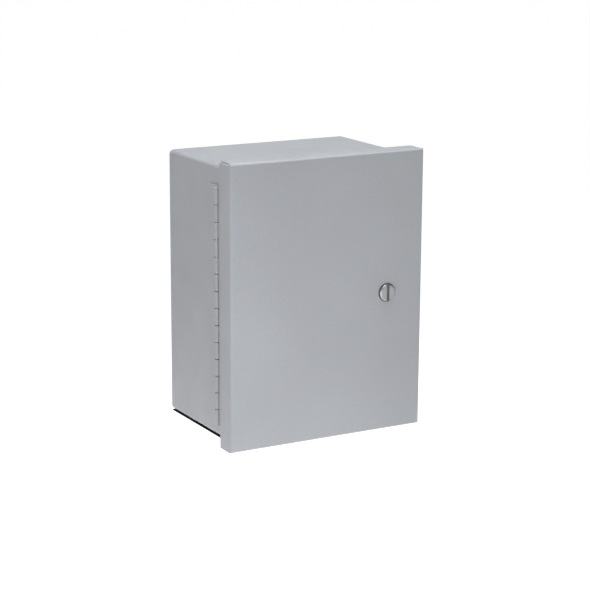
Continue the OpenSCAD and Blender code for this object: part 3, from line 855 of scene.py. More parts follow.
class CopyTree(NodeTree):
    """Sets copies of one unit on points, each with its own turn."""

    def __init__(self) -> None:
        """Build the tree."""
        super().__init__("copies_on_points")
        self.input("Unit", "NodeSocketObject")
        unit = self.node("GeometryNodeObjectInfo", Object=self.entry.outputs["Unit"])
        turn = self.node("FunctionNodeEulerToRotation", Euler=self.attribute("turn"))
        points = self.node("GeometryNodeInstanceOnPoints", Points=self.entry.outputs["Geometry"],
                           Instance=unit.outputs["Geometry"], Rotation=turn.outputs[0])
        self.close(points.outputs[0])

    def set_on(self, name: str, unit: Piece, points: Sequence[Sequence[float]], finish: str,
               turns: Optional[Sequence[Point]] = None) -> Piece:
        """Copy a unit to points.

        Args:
            name: Name of the result.
            unit: Unit built at the origin, dropped afterwards.
            points: Places in millimetres.
            finish: Finish of the copies.
            turns: Euler turn of each copy in radians.

        Returns:
            The copies as one piece.
        """
        mesh = bpy.data.meshes.new("points")
        mesh.from_pydata([Vector(p) * MM for p in points], [], [])
        layer = mesh.attributes.new("turn", "FLOAT_VECTOR", "POINT")
        layer.data.foreach_set("vector", [c for row in (turns or [(0, 0, 0)] * len(points)) for c in row])
        carrier = Shop.raise_object("points", mesh)
        return self.run(name, carrier, [unit], Unit=unit, Finish=PALETTE.get(finish))


class RowTree(NodeTree):
    """Sets copies of one unit in a straight row."""

    def __init__(self) -> None:
        """Build the tree."""
        super().__init__("copies_in_a_row")
        self.input("Unit", "NodeSocketObject")
        self.input("Count", "NodeSocketInt")
        self.input("Start", "NodeSocketVector")
        self.input("Step", "NodeSocketVector")
        unit = self.node("GeometryNodeObjectInfo", Object=self.entry.outputs["Unit"])
        line = self.node("GeometryNodeMeshLine", Count=self.entry.outputs["Count"],
                         Start_Location=self.entry.outputs["Start"], Offset=self.entry.outputs["Step"])
        points = self.node("GeometryNodeInstanceOnPoints", Points=line.outputs[0],
                           Instance=unit.outputs["Geometry"])
        self.close(points.outputs[0])

    def line_up(self, name: str, unit: Piece, count: int, start: Sequence[float],
                step: Sequence[float], finish: str) -> Piece:
        """Copy a unit along a row.

        Args:
            name: Name of the result.
            unit: Unit built at the origin, dropped afterwards.
            count: Number of copies.
            start: Place of the first copy in millimetres.
            step: Distance to the next copy in millimetres.
            finish: Finish of the copies.

        Returns:
            The row as one piece.
        """
        carrier = Shop.raise_object("row", bpy.data.meshes.new("row"))
        return self.run(name, carrier, [unit], Unit=unit, Count=count, Start=tuple(v * MM for v in start),
                        Step=tuple(v * MM for v in step), Finish=PALETTE.get(finish))


class SweepTree(NodeTree):
    """Sweeps a round profile along a path."""

    def __init__(self) -> None:
        """Build the tree."""
        super().__init__("round_sweep")
        self.input("Radius", "NodeSocketFloat")
        self.input("Sides", "NodeSocketInt")
        path = self.node("GeometryNodeMeshToCurve", Mesh=self.entry.outputs["Geometry"])
        ring = self.node("GeometryNodeCurvePrimitiveCircle", Resolution=self.entry.outputs["Sides"],
                         Radius=self.entry.outputs["Radius"])
        tube = self.node("GeometryNodeCurveToMesh", Curve=path.outputs[0], Profile_Curve=ring.outputs[0],
                         Fill_Caps=True)
        self.close(tube.outputs[0])

    def lay(self, name: str, paths: Sequence[Sequence[Sequence[float]]], radius: float, finish: str,
            sides: int = 12, fine: int = 8) -> Piece:
        """Sweep tubes along paths.

        Args:
            name: Name of the result.
            paths: Points on each path in millimetres.
            radius: Radius in millimetres.
            finish: Finish of the tubes.
            sides: Facets round a tube.
            fine: Steps of a smooth curve between neighbouring points, or 0 for straight runs.

        Returns:
            The tubes as one piece.
        """
        points, edges = [], []
        for path in paths:
            line = [Vector(p) for p in path]
            line = smooth_path(line, fine) if fine else line
            edges += [(len(points) + k, len(points) + k + 1) for k in range(len(line) - 1)]
            points += [p * MM for p in line]
        mesh = bpy.data.meshes.new("path")
        mesh.from_pydata(points, edges, [])
        tube = self.run(name, Shop.raise_object("path", mesh), Radius=radius * MM, Sides=sides,
                        Finish=PALETTE.get(finish))
        work = bmesh.new()
        work.from_mesh(tube.data)
        bmesh.ops.recalc_face_normals(work, faces=work.faces)
        work.to_mesh(tube.data)
        work.free()
        return Shop.smooth(tube)


def smooth_path(points: Sequence[Vector], fine: int) -> list[Vector]:
    """Pass a smooth curve through points.

    Args:
        points: Points to pass through.
        fine: Steps between neighbours.

    Returns:
        The finer points.
    """
    result = []
    last = len(points) - 1
    for k in range(last):
        a, b, c, d = points[max(k - 1, 0)], points[k], points[k + 1], points[min(k + 2, last)]
        for j in range(fine):
            t = j / fine
            result.append(0.5 * (2 * b + (c - a) * t + (2 * a - 5 * b + 4 * c - d) * t * t
                                 + (3 * b - a - 3 * c + d) * t ** 3))
    return result + [points[-1]]


def arc(centre: Pair, radius: float, start: float, end: float,
        steps: int) -> list[Pair]:
    """Points on an arc, with angles in degrees."""
    return [(centre[0] + radius * math.cos(math.radians(start + (end - start) * k / steps)),
             centre[1] + radius * math.sin(math.radians(start + (end - start) * k / steps)))
            for k in range(steps + 1)]


def rounded_outline(half_w: float, half_h: float, radius: float, steps: int) -> list[Pair]:
    """Corner-rounded rectangle about the origin as points, starting at the right."""
    radius = max(radius, 1e-4)
    points = []
    for turn, (sx, sz) in enumerate(((1, 1), (-1, 1), (-1, -1), (1, -1))):
        points += arc((sx * (half_w - radius), sz * (half_h - radius)), radius, 90 * turn, 90 * turn + 90, steps)
    return points


class Fasteners:
    """Screw, nut and stud units, built at the origin with the head towards -Y."""

    @staticmethod
    def pan_head(radius: float, height: float, shank: float, length: float) -> Piece:
        """A domed head with a cross recess over a plain shank.

        Args:
            radius: Head radius in millimetres.
            height: Head height in millimetres.
            shank: Shank radius in millimetres.
            length: Shank length in millimetres.

        Returns:
            The unit.
        """
        dome = [(0, height)] + [(radius * 0.72 * t, height * (1 - 0.10 * t * t)) for t in (0.4, 0.75, 1.0)]
        dome += [(radius * 0.9, height * 0.72), (radius * 0.985, height * 0.42), (radius, height * 0.12),
                 (radius * 0.97, 0), (shank, 0), (shank, -length + 0.3), (shank - 0.3, -length), (0, -length)]
        head = Shop.lathe("head", dome, (0, 0, 0), Axis.Y, 28)
        wide, thin, deep = radius * 0.52, radius * 0.13, height * 0.62
        cross = [Shop.block("arm", (-w, -height - 1, -t), (w, -height + deep, t))
                 for w, t in ((wide, thin), (thin, wide))]
        return Shop.cut(head, cross)

    @staticmethod
    def slotted(radius: float, height: float, shank: float, length: float) -> Piece:
        """A low cheese head with one slot over a plain shank, sized as pan_head is."""
        edge = min(0.25, height * 0.3)
        outline = [(0, height), (radius - edge, height), (radius, height - edge), (radius, 0),
                   (shank, 0), (shank, -length), (0, -length)]
        head = Shop.lathe("head", outline, (0, 0, 0), Axis.Y, 28)
        slot = Shop.block("slot", (-radius - 1, -height - 1, -radius * 0.15),
                              (radius + 1, -height * 0.5, radius * 0.15))
        return Shop.cut(head, [slot])

    @staticmethod
    def hex_nut(across: float, height: float, bore: float) -> Piece:
        """A chamfered hexagon nut whose front face is at -height.

        Args:
            across: Radius to its corners in millimetres.
            height: Height in millimetres.
            bore: Bore radius in millimetres.

        Returns:
            The unit.
        """
        steps = 48
        work = bmesh.new()
        rings = []
        for y, scale in ((0, 0.93), (0.12 * height, 1.0), (0.88 * height, 1.0), (height, 0.93)):
            ring = []
            for k in range(steps):
                a = math.tau * k / steps
                hexagon = across * math.cos(math.pi / 6) / math.cos((a + math.pi / 6) % (math.pi / 3) - math.pi / 6)
                r = min(hexagon, across * (1.0 if scale == 1.0 else 0.93))
                ring.append(work.verts.new((r * math.cos(a) * MM, -y * MM, r * math.sin(a) * MM)))
            rings.append(ring)
        for y, r in ((height, bore + 0.35), (height - 0.35, bore), (0.35, bore), (0, bore + 0.35)):
            rings.append([work.verts.new((r * math.cos(math.tau * k / steps) * MM, -y * MM,
                                          r * math.sin(math.tau * k / steps) * MM)) for k in range(steps)])
        for first, second in list(zip(rings, rings[1:])) + [(rings[-1], rings[0])]:
            for k in range(steps):
                work.faces.new([first[k], first[(k + 1) % steps], second[(k + 1) % steps], second[k]])
        return Shop.smooth(Shop.from_bmesh("nut", work), 25)

    @staticmethod
    def threaded_rod(radius: float, length: float, pitch: float) -> Piece:
        """A rod from the origin to -Y with rolled thread rings and a chamfered tip.

        Args:
            radius: Outside radius in millimetres.
            length: Length in millimetres.
            pitch: Thread pitch in millimetres.

        Returns:
            The unit.
        """
        outline = [(0, 0), (radius - 0.1, 0)]
        along = pitch / 2
        while along < length - 1.2 * pitch:
            outline += [(radius * 0.86, along), (radius, along + pitch / 2)]
            along += pitch
        outline += [(radius * 0.86, length - pitch), (radius * 0.7, length), (0, length)]
        return Shop.lathe("rod", outline, (0, 0, 0), Axis.Y, 20)


COPIES = CopyTree()
ROWS = RowTree()
SWEEPS = SweepTree()


# ---------- shared sizes

LIP_Y, DOOR_IN_Y, DOOR_Y = -158.0, -162.0, -163.5
BACK_Y, PLATE_Y, PANEL_Y = -1.5, -13.5, -15.0
BOARD_Y, FACE_Y, SHOW_Y = -23.0, -96.2, -86.2
FLOOR_Z = -150.9
BOARD_FRONT = BOARD_Y - 1.6
FACE_FRONT = FACE_Y - 1.5
DISPLAY_CORNERS = ((-82, 40), (82, 40), (-82, 106), (82, 106))


class Assembly:
    """A sub-assembly that makes and dresses its own pieces."""

    def rounded_copies(self, width: float, *nodes: str) -> None:
        """Dress CAD nodes whose shape only needs its edges rounded.

        Args:
            width: Rounding of the edges in millimetres.
            nodes: The CAD nodes.
        """
        for node in nodes:
            finish_piece(Shop.cad_copy(node, width * MM), [node])

    @staticmethod
    def screws(unit: Piece, places: Sequence[Point], seed: int, name: str = "screws") -> Piece:
        """Set bright screws or nuts, each at its own turn.

        Args:
            unit: One screw at the origin, with its head towards the front.
            places: Places in millimetres.
            seed: Seed of the turns.
            name: Name of the result.

        Returns:
            The screws as one piece.
        """
        return COPIES.set_on(name, unit, places, "bright_fastener", facing(len(places), seed))

    def build(self) -> None:
        """Make every piece. Each sub-assembly does its own."""
        raise NotImplementedError


def facing(count: int, seed: int) -> list[Point]:
    """Random turns about the screw axis, always the same for a seed.

    Args:
        count: Number of turns.
        seed: Seed of the draw.

    Returns:
        One Euler turn for each.
    """
    draw = random.Random(seed)
    return [(0, draw.uniform(0, math.pi), 0) for _ in range(count)]


# ---------- cabinet


@dataclass
class Cabinet(Assembly):
    """Bent steel body with its back, knockouts, bushing and welded studs."""

    edge: float = 0.3
    stud_places: tuple = ((-94, -30), (94, -30), (-84, 108), (84, 108))
    ground: Pair = (102, -95)
    stud_radius: float = 2.0
    ground_radius: float = 2.5

    def build(self) -> None:
        """Make the shell, then what is set in it."""
        self.rounded_copies(self.edge, "cabinet_wrapper", "cabinet_back", "cable_bushing")
        self.rounded_copies(0.2, "knockout_discs")
        self.build_studs()
        self.build_ground()
        self.build_panel_nuts()

    def build_studs(self) -> None:
        """Weld the bosses and studs to the back."""
        boss = Shop.lathe("boss", [(0, 12), (3.6, 12), (4, 11.6), (4, 0.6), (4.5, 0), (0, 0)], (0, 0, 0),
                              Axis.Y, 28)
        places = [(x, BACK_Y, z) for x, z in self.stud_places]
        bosses = COPIES.set_on("bosses", boss, places, "bright_fastener")
        rods = COPIES.set_on("rods", Fasteners.threaded_rod(self.stud_radius, 7, 0.7),
                             [(x, PLATE_Y, z) for x, z in self.stud_places], "bright_fastener")
        ground = COPIES.set_on("ground", Fasteners.threaded_rod(self.ground_radius, 16, 0.8),
                               [(self.ground[0], BACK_Y, self.ground[1])], "bright_fastener")
        finish_piece(Shop.join("welded_studs", [bosses, rods, ground]), ["weld_studs"])

    def build_ground(self) -> None:
        """Set two nuts and a washer on the ground stud."""
        x, z = self.ground
        nuts = self.screws(Fasteners.hex_nut(4.6, 4, self.ground_radius + 0.05),
                           [(x, BACK_Y - 1, z), (x, BACK_Y - 7.3, z)], 3)
        washer = washer_ring((x, BACK_Y - 6.3, z), 5, self.ground_radius + 0.05, 1.0)
        finish_piece(Shop.join("ground_stud_nuts", [nuts, washer]), ["ground_nuts"])

    def build_panel_nuts(self) -> None:
        """Set a nut and a washer on each panel stud."""
        nuts = self.screws(Fasteners.hex_nut(4, 3.2, self.stud_radius + 0.03),
                           [(x, PANEL_Y - 0.8, z) for x, z in self.stud_places], 5)
        washers = COPIES.set_on("washers", washer_ring((0, 0, 0), 4.5, self.stud_radius + 0.03, 0.8),
                                [(x, PANEL_Y, z) for x, z in self.stud_places], "bright_fastener")
        finish_piece(Shop.join("chassis_nuts", [nuts, washers]), ["panel_nuts"])


def washer_ring(seat: Sequence[float], outer: float, inner: float, height: float) -> Piece:
    """A flat washer with eased edges.

    Args:
        seat: Centre of its rear face in millimetres.
        outer: Outside radius.
        inner: Inside radius.
        height: Thickness.

    Returns:
        The washer.
    """
    e = min(0.15, height / 4)
    outline = [(inner, 0), (outer - e, 0), (outer, e), (outer, height - e), (outer - e, height), (inner, height)]
    return Shop.lathe("washer", outline, seat, Axis.Y, 32)


# ---------- hinge


@dataclass
class ContinuousHinge(Assembly):
    """Two leaves with rolled knuckles that alternate on one long pin."""

    centre: Pair = (-121.0, -130.6)
    bottom: float = -136.05
    pitch: float = 19.05
    knuckles: int = 14
    gap: float = 0.8
    outer: float = 3.0
    bore: float = 1.25
    pin: float = 1.2
    seam: float = 4.0
    ease: float = 0.35
    weld_radius: float = 2.2
    weld_depth: float = 0.14

    @property
    def length(self) -> float:
        """Length of the whole hinge."""
        return self.pitch * self.knuckles

    def at(self, outline: Sequence[Pair]) -> list[Pair]:
        """Move an outline from the pin's centre to its place."""
        return [(self.centre[0] + x, self.centre[1] + y) for x, y in outline]

    def rolled_knuckle(self, neck: Sequence[Pair], seam_at: float) -> Piece:
        """One knuckle rolled round the pin, with the seam where the roll ends.

        Args:
            neck: Outline that joins it to its leaf.
            seam_at: Angle of the seam in degrees.

        Returns:
            The knuckle, standing on height 0.
        """
        tall = self.pitch - self.gap
        start, end = seam_at + self.seam / 2, seam_at - self.seam / 2 + 360
        roll = arc((0, 0), self.outer, start, end, 44) + arc((0, 0), self.bore, end, start, 30)
        ring = Shop.prism("ring", self.at(roll), 0, tall)
        return Shop.cut(ring, [Shop.prism("neck", self.at(neck), 0, tall)], "UNION")

    def leaf(self, name: str, node: str, plate: Sequence[Pair], neck: Sequence[Pair],
             seam_at: float, first: int, weld_x: float, weld_y: float, weld_turn: float) -> None:
        """Make a leaf with a row of knuckles and a row of spot welds.

        Args:
            name: Name of the piece.
            node: CAD node that it replaces.
            plate: Outline of the bent plate.
            neck: Outline that joins a knuckle to the plate.
            seam_at: Angle of the seam in degrees.
            first: Index of its first knuckle.
            weld_x: Face that the spot welds dent.
            weld_y: Line of the spot welds.
            weld_turn: Turn of the dents in radians.
        """
        sheet = Shop.prism("sheet", self.at(plate), self.bottom, self.bottom + self.length)
        row = ROWS.line_up("rolled", self.rolled_knuckle(neck, seam_at), self.knuckles // 2,
                           (0, 0, self.bottom + first * self.pitch + self.gap / 2), (0, 0, 2 * self.pitch),
                           SLOT_OF[node])
        whole = Shop.cut(sheet, [row], "UNION")
        r, d = self.weld_radius, self.weld_depth
        dent = Shop.lathe("dent", [(0, d), (r * 0.5, d * 0.8), (r, 0), (r, -0.6), (0, -0.6)], (0, 0, 0), Axis.X, 20)
        marks = [(weld_x, weld_y, self.bottom + 12 + k * (self.length - 24) / 6) for k in range(7)]
        dents = COPIES.set_on("dents", dent, marks, SLOT_OF[node], [(0, 0, weld_turn)] * 7)
        Shop.cut(whole, [dents])
        whole.name = name
        finish_piece(Shop.soften(whole, self.ease * MM), [node])

    def build(self) -> None:
        """Make both leaves and the pin."""
        self.leaf("hinge_leaf_on_body", "hinge_body_leaf",
                  [(5.5, 27.5), (5.5, 7.5), (5.3, 6.8), (2.2, 3.8), (3.4, 2.6), (6.5, 5.7), (6.7, 6.2),
                   (6.7, 27.5)],
                  [(2.6, 4.15), (3.7, 2.95), (2.5, 0.9), (0.9, 2.5)], 96, 0, -115.5, -108.5, 0)
        self.leaf("hinge_leaf_on_door", "hinge_door_leaf",
                  [(1.0, -29.4), (2.2, -29.4), (2.2, -7.2), (1.5, -6.4), (1.5, -3.6), (0.3, -3.6), (0.3, -6.9),
                   (1.0, -7.45)],
                  [(0.3, -3.9), (1.5, -3.9), (1.5, -2.0), (0.3, -2.2)], -88, 1, -118.8, -149, math.pi)
        low, high, r = self.bottom + 0.3, self.bottom + self.length - 0.3, self.pin
        outline = [(0, low), (r * 0.6, low + 0.08), (r * 0.95, low + 0.35), (r, low + 0.7), (r, high - 0.7),
                   (r * 0.95, high - 0.35), (r * 0.6, high - 0.08), (0, high)]
        finish_piece(Shop.lathe("hinge_pin_rod", outline, (*self.centre, 0), Axis.Z, 24), ["hinge_pin"])


# ---------- door and latch


@dataclass
class Door(Assembly):
    """Flanged door pan with the latch sleeve and its nut."""

    edge: float = 0.45
    latch_x: float = 75.2
    nut_across: float = 13.5
    nut_height: float = 3.5
    sleeve: float = 9.0

    def build(self) -> None:
        """Make the pan and what is clamped to it."""
        self.rounded_copies(self.edge, "door_pan")
        self.rounded_copies(0.12, "latch_housing")
        nut = Fasteners.hex_nut(self.nut_across, self.nut_height, self.sleeve + 0.02)
        placed = COPIES.set_on("latch_clamp_nut", nut, [(self.latch_x, DOOR_IN_Y + self.nut_height, 0)],
                               "zinc_plate",
                               [(0, 0.2, 0)])
        finish_piece(placed, ["latch_nut"])


@dataclass
class QuarterTurnLatch(Assembly):
    """Slotted quarter-turn latch with its cam and screw."""

    x: float = 75.2
    head: float = 9.7
    rise: float = 2.3
    chamfer: float = 1.0
    shaft: float = 5.0
    slot_width: float = 3.6
    slot_depth: float = 2.0
    reach: float = 32.0
    arm: float = 6.0
    seat: float = DOOR_Y - 0.8

    def build(self) -> None:
        """Make the head, the cam and its screw."""
        self.build_head()
        self.build_cam()
        self.build_screw()

    def build_head(self) -> None:
        """Turn the head, cut its slot, its flats and its bore, then paint shade on the slot's floor and left wall.
        """
        r, h, c = self.head, self.rise, self.chamfer
        rear = self.seat - (LIP_Y + 4.6)
        outline = [(0, h), (r - c - 0.15, h), (r - c, h - 0.06), (r - 0.1, h - c + 0.04), (r, h - c - 0.12),
                   (r, 0.2), (r - 0.2, 0), (self.shaft, 0), (self.shaft, rear + 0.3), (self.shaft - 0.3, rear),
                   (0, rear)]
        head = Shop.lathe("latch_slotted_head", outline, (self.x, self.seat, 0), Axis.Y, 96)
        half = self.slot_width / 2
        front = self.seat - h
        tools = [Shop.block("slot", (self.x - half, front - 2, -r - 1),
                            (self.x + half, front + self.slot_depth, r + 1)),
                 Shop.lathe("bore", [(0, -16), (2, -16), (2, -5), (0, -4)], (self.x, self.seat, 0), Axis.Y, 24)]
        tools += [Shop.block("flat", (self.x + s * 3.5 - (0 if s > 0 else 3), LIP_Y + 2.3, -8),
                                 (self.x + s * 3.5 + (3 if s > 0 else 0), LIP_Y + 6, 8)) for s in (-1, 1)]
        whole = finish_piece(Shop.soften(Shop.cut(head, tools), 0.1 * MM, 2, 40), ["latch_head"])
        # Painted shade: the slot's floor and left wall take the dark finish, while the slot's right wall keeps the
        # bright plating as if lit.
        whole.data.materials.append(PALETTE.get("dark_zinc"))
        right_wall, floor = (self.x + half - 0.2) * MM, (front + 0.2) * MM
        for face in whole.data.polygons:
            middle = face.center
            if floor < middle.y < self.seat * MM and abs(middle.x - self.x * MM) < half * MM + 1e-5:
                face.material_index = 0 if middle.x > right_wall else 1

    def build_cam(self) -> None:
        """Stamp the cam with a rounded end and a two-flat hole."""
        disc, half, low = 9.0, self.arm, -self.reach
        side = math.degrees(math.asin(half / disc))
        outline = arc((0, 0), disc, -90 + side, 270 - side, 30)
        outline += arc((-half + 3.5, low + 3.5), 3.5, 180, 270, 8) + arc((half - 3.5, low + 3.5), 3.5, 270, 360, 8)
        cam = Shop.prism("latch_stamped_cam", [(self.x + a, b) for a, b in outline], LIP_Y + 2.4, LIP_Y + 4.8,
                             Axis.Y)
        flat = math.degrees(math.acos(3.52 / 5.02))
        hole = arc((self.x, 0), 5.02, flat, 180 - flat, 12) + arc((self.x, 0), 5.02, 180 + flat, 360 - flat, 12)
        Shop.cut(cam, [Shop.prism("hole", hole, LIP_Y, LIP_Y + 6, Axis.Y)])
        finish_piece(Shop.soften(cam, 0.25 * MM), ["latch_cam"])

    def build_screw(self) -> None:
        """Turn the cam screw and cut its hexagon socket."""
        rear = LIP_Y + 7.8
        outline = [(0, 0), (4.6, 0), (5, 0.4), (5, 3), (1.98, 3), (1.98, 8.6), (1.6, 8.9), (0, 8.9)]
        screw = Shop.lathe("latch_cam_screw", outline, (self.x, rear, 0), Axis.Y, 40)
        socket = [(self.x + 2.4 * math.cos(math.tau * k / 6), 2.4 * math.sin(math.tau * k / 6)) for k in range(6)]
        Shop.cut(screw, [Shop.prism("socket", socket, rear - 1.6, rear + 1, Axis.Y)])
        finish_piece(Shop.soften(screw, 0.08 * MM, 1, 40), ["latch_screw"])


# ---------- power supply


@dataclass
class Transformer(Assembly):
    """Laminated core with a taped coil, held by a strap."""

    x: float = -63.0
    z: float = 76.0
    unit: float = 8.4
    half_stack: float = 15.0
    plates: int = 60
    foot_x: float = 30.5
    half_coil: float = 23.0

    def build(self) -> None:
        """Make the core, coil, strap and screws."""
        self.build_core()
        self.build_coil()
        self.rounded_copies(0.35, "transformer_frame")
        places = [(self.x + s * self.foot_x, PANEL_Y - 1, self.z) for s in (-1, 1)]
        finish_piece(self.screws(Fasteners.pan_head(3.4, 2.2, 1.8, 4), places, 11, "transformer_foot_screws"),
                     ["transformer_screws"])

    def build_core(self) -> None:
        """Stack the plates and rivet them."""
        u, front = self.unit, PANEL_Y - 5 * self.unit
        pitch = 2 * self.half_stack / self.plates
        plate = Shop.block("plate", (self.x - 3 * u, front, 0), (self.x + 3 * u, PANEL_Y, pitch * 0.86))
        joint = front + u
        tools = [Shop.block("window", (self.x + s * 1.5 * u - u / 2, front + u, -1),
                                (self.x + s * 1.5 * u + u / 2, PANEL_Y - u, 1)) for s in (-1, 1)]
        tools += [Shop.block("joint", (self.x + s * 3 * u - 0.25, joint - 0.08, -1),
                                 (self.x + s * 3 * u + 0.25, joint + 0.08, 1)) for s in (-1, 1)]
        stack = ROWS.line_up("stack", Shop.cut(plate, tools), self.plates,
                             (0, 0, self.z - self.half_stack), (0, 0, pitch), "lamination_steel")
        rivet = Shop.lathe("rivet", [(0, 1.1), (1.1, 1.0), (1.9, 0.6), (2.3, 0), (0, -1)], (0, 0, 0), Axis.Y, 18)
        places, turns = [], []
        for sx in (-1, 1):
            for y in (front + u / 2, PANEL_Y - u / 2):
                for sz in (-1, 1):
                    places.append((self.x + sx * 2.5 * u, y, self.z + sz * self.half_stack))
                    turns.append((-sz * math.pi / 2, 0, 0))
        rivets = COPIES.set_on("rivets", rivet, places, "lamination_steel", turns)
        finish_piece(Shop.join("transformer_plates", [stack, rivets]), ["transformer_core"])

    def build_coil(self) -> None:
        """Wind the taped coil on its bobbin."""
        u = self.unit
        half_w, front, rear = 2 * u - 0.3, PANEL_Y - 4 * u + 0.3, PANEL_Y - u - 0.3
        core = ((self.x - u - 0.1, front - 5, self.z - self.half_stack - 0.2),
                (self.x + u + 0.1, rear + 5, self.z + self.half_stack + 0.2))
        coil = Shop.prism("coil_winding", [(self.x + a, self.z + b) for a, b in
                                               rounded_outline(half_w - 0.5, self.half_coil - 0.9, 5.5, 8)],
                              front + 1.1, rear - 1.1, Axis.Y)
        Shop.cut(coil, [Shop.block("leg", *core)])
        finish_piece(Shop.soften(coil, 0.35 * MM), ["transformer_coil"])
        cheeks = []
        for y in (front, rear - 1.0):
            cheek = Shop.prism("cheek", [(self.x + a, self.z + b) for a, b in
                                             rounded_outline(half_w, self.half_coil, 2.5, 5)], y, y + 1.0, Axis.Y)
            cheeks.append(Shop.soften(Shop.cut(cheek, [Shop.block("leg", *core)]), 0.15 * MM))
        finish_piece(Shop.join("coil_bobbin", cheeks), ["transformer_coil"], None, "black_plastic")


@dataclass
class MainsInput(Assembly):
    """Mains terminal block, fuse and their wires."""

    block_x: tuple[float, ...] = (-80.5, -64.0, -47.5)
    screw_z: float = -18.0
    field_x: tuple[float, ...] = (-12, 13, 38, 63)
    field_z: float = -18.5
    way: float = 5.6
    fuse_z: float = 16.0
    fuse_low: float = -80.0
    fuse_high: float = -48.0

    def build(self) -> None:
        """Make the blocks, screws, fuse and wires."""
        self.rounded_copies(0.4, "mains_terminal", "fuse_holder")
        self.rounded_copies(0.15, "fuse_clips")
        self.build_screws()
        self.build_fuse()
        self.build_wires()

    def build_screws(self) -> None:
        """Set the screws of the mains block and of the field blocks."""
        big = self.screws(Fasteners.pan_head(3.6, 2.2, 1.7, 4),
                          [(x, PANEL_Y - 9, self.screw_z) for x in self.block_x], 21)
        places = [(x + 3.6 + self.way * k, BOARD_Y - 11.6, self.field_z) for x in self.field_x for k in range(4)]
        small = self.screws(Fasteners.slotted(1.9, 1.2, 1.2, 1.5), places, 22)
        finish_piece(Shop.join("clamp_screws", [big, small]), ["terminal_screws"])

    def build_fuse(self) -> None:
        """Make the glass tube, its two caps and the wire inside."""
        y, r, cap = PANEL_Y - 10, 3.18, 6.3
        tube = [(2.5, self.fuse_low + cap - 1), (2.95, self.fuse_low + cap - 1), (2.95, self.fuse_high - cap + 1),
                (2.5, self.fuse_high - cap + 1)]
        finish_piece(Shop.lathe("fuse_tube", tube, (0, y, self.fuse_z), Axis.X, 32), ["fuse"])
        caps = []
        for end, sign in ((self.fuse_low, 1), (self.fuse_high, -1)):
            outline = [(0, end), (r - 0.4, end), (r, end + sign * 0.4), (r, end + sign * cap),
                       (2.96, end + sign * cap), (2.96, end + sign * 0.8), (0, end + sign * 0.8)]
            caps.append(Shop.lathe("cap", outline, (0, y, self.fuse_z), Axis.X, 32))
        finish_piece(Shop.join("fuse_end_caps", caps), ["fuse"], None, "bright_fastener")
        wire = SWEEPS.lay("fuse_wire", [[(self.fuse_low + 0.5, y, self.fuse_z), (-72, y - 0.5, self.fuse_z + 0.4),
                                         (-64, y + 0.3, self.fuse_z - 0.3), (-56, y - 0.2, self.fuse_z + 0.3),
                                         (self.fuse_high - 0.5, y, self.fuse_z)]], 0.22, "bright_fastener", 6, 5)
        finish_piece(wire, ["fuse"], None, "bright_fastener")

    def build_wires(self) -> None:
        """Run the mains, ground and secondary wires, with crimped ends."""
        p, b = PANEL_Y, BOARD_Y
        mains = [[(-80.5, p - 10.4, -14.2), (-81, p - 13, -4), (-88, p - 14, 4), (-91, p - 12.5, 11),
                  (-87, p - 10.2, 15.6), (-81.7, p - 10, 16)],
                 [(-46.3, p - 10, 16), (-41, p - 10.2, 17), (-37.5, p - 13, 24), (-40, p - 18, 36),
                  (-50, p - 22, 47), (-54, p - 22, 53.4)],
                 [(-64, p - 10.4, -14.2), (-62, p - 14, -2), (-63, p - 21, 14), (-66, p - 22, 36),
                  (-68, p - 22, 53.5)]]
        finish_piece(SWEEPS.lay("mains_leads", mains, 1.2, "wire_black", 14), ["mains_wires"])
        ground = [(-47.5, p - 10.4, -22), (-47, p - 13, -32), (-30, p - 4, -43), (20, -8.5, -44.5), (84, -6.4, -48),
                  (99, -6.2, -60), (102, -7.4, -78), (102, -8.3, -89.6)]
        finish_piece(SWEEPS.lay("ground_lead", [ground], 1.2, "wire_green", 14), ["ground_wire"])
        second = [[(-56, p - 24, 98.5), (-52, p - 22, 106), (-36, p - 24, 109), (-18, b - 12, 104),
                   (-10, b - 9, 92),
                   (-10, b - 2.2, 86)],
                  [(-68, p - 24, 98.5), (-64, p - 26, 109), (-40, p - 27, 112), (-14, b - 14, 107),
                   (-4, b - 10, 94),
                   (-4, b - 2.2, 86)]]
        finish_piece(SWEEPS.lay("secondary_leads", second, 1.0, "wire_yellow", 14), ["secondary_wires"])
        sleeves = [[smooth_path([Vector(q) for q in run], 6)[k] for k in span]
                   for run, span in ((mains[0], range(0, 5)), (mains[2], range(0, 5)), (ground, range(0, 5)))]
        trim(SWEEPS.lay("crimp_sleeves", sleeves, 1.75, "wire_blue", 14, 2), "wire_blue")
        tail = smooth_path([Vector(q) for q in ground], 6)
        lug = SWEEPS.lay("lug", [tail[-6:]], 1.6, "tinned_brass", 14, 2)
        ring = washer_ring((102, -6.7, -95), 4.4, 2.6, 0.8)
        trim(Shop.join("ground_lug", [lug, ring]), "tinned_brass")
        feet = [Shop.block("foot", (x - 3.2, b - 5.2, 83.4), (x + 3.2, BOARD_FRONT, 88.6), 0.4) for x in (-10, -4)]
        trim(Shop.join("supply_sockets", feet), "legend_white")


# ---------- main board


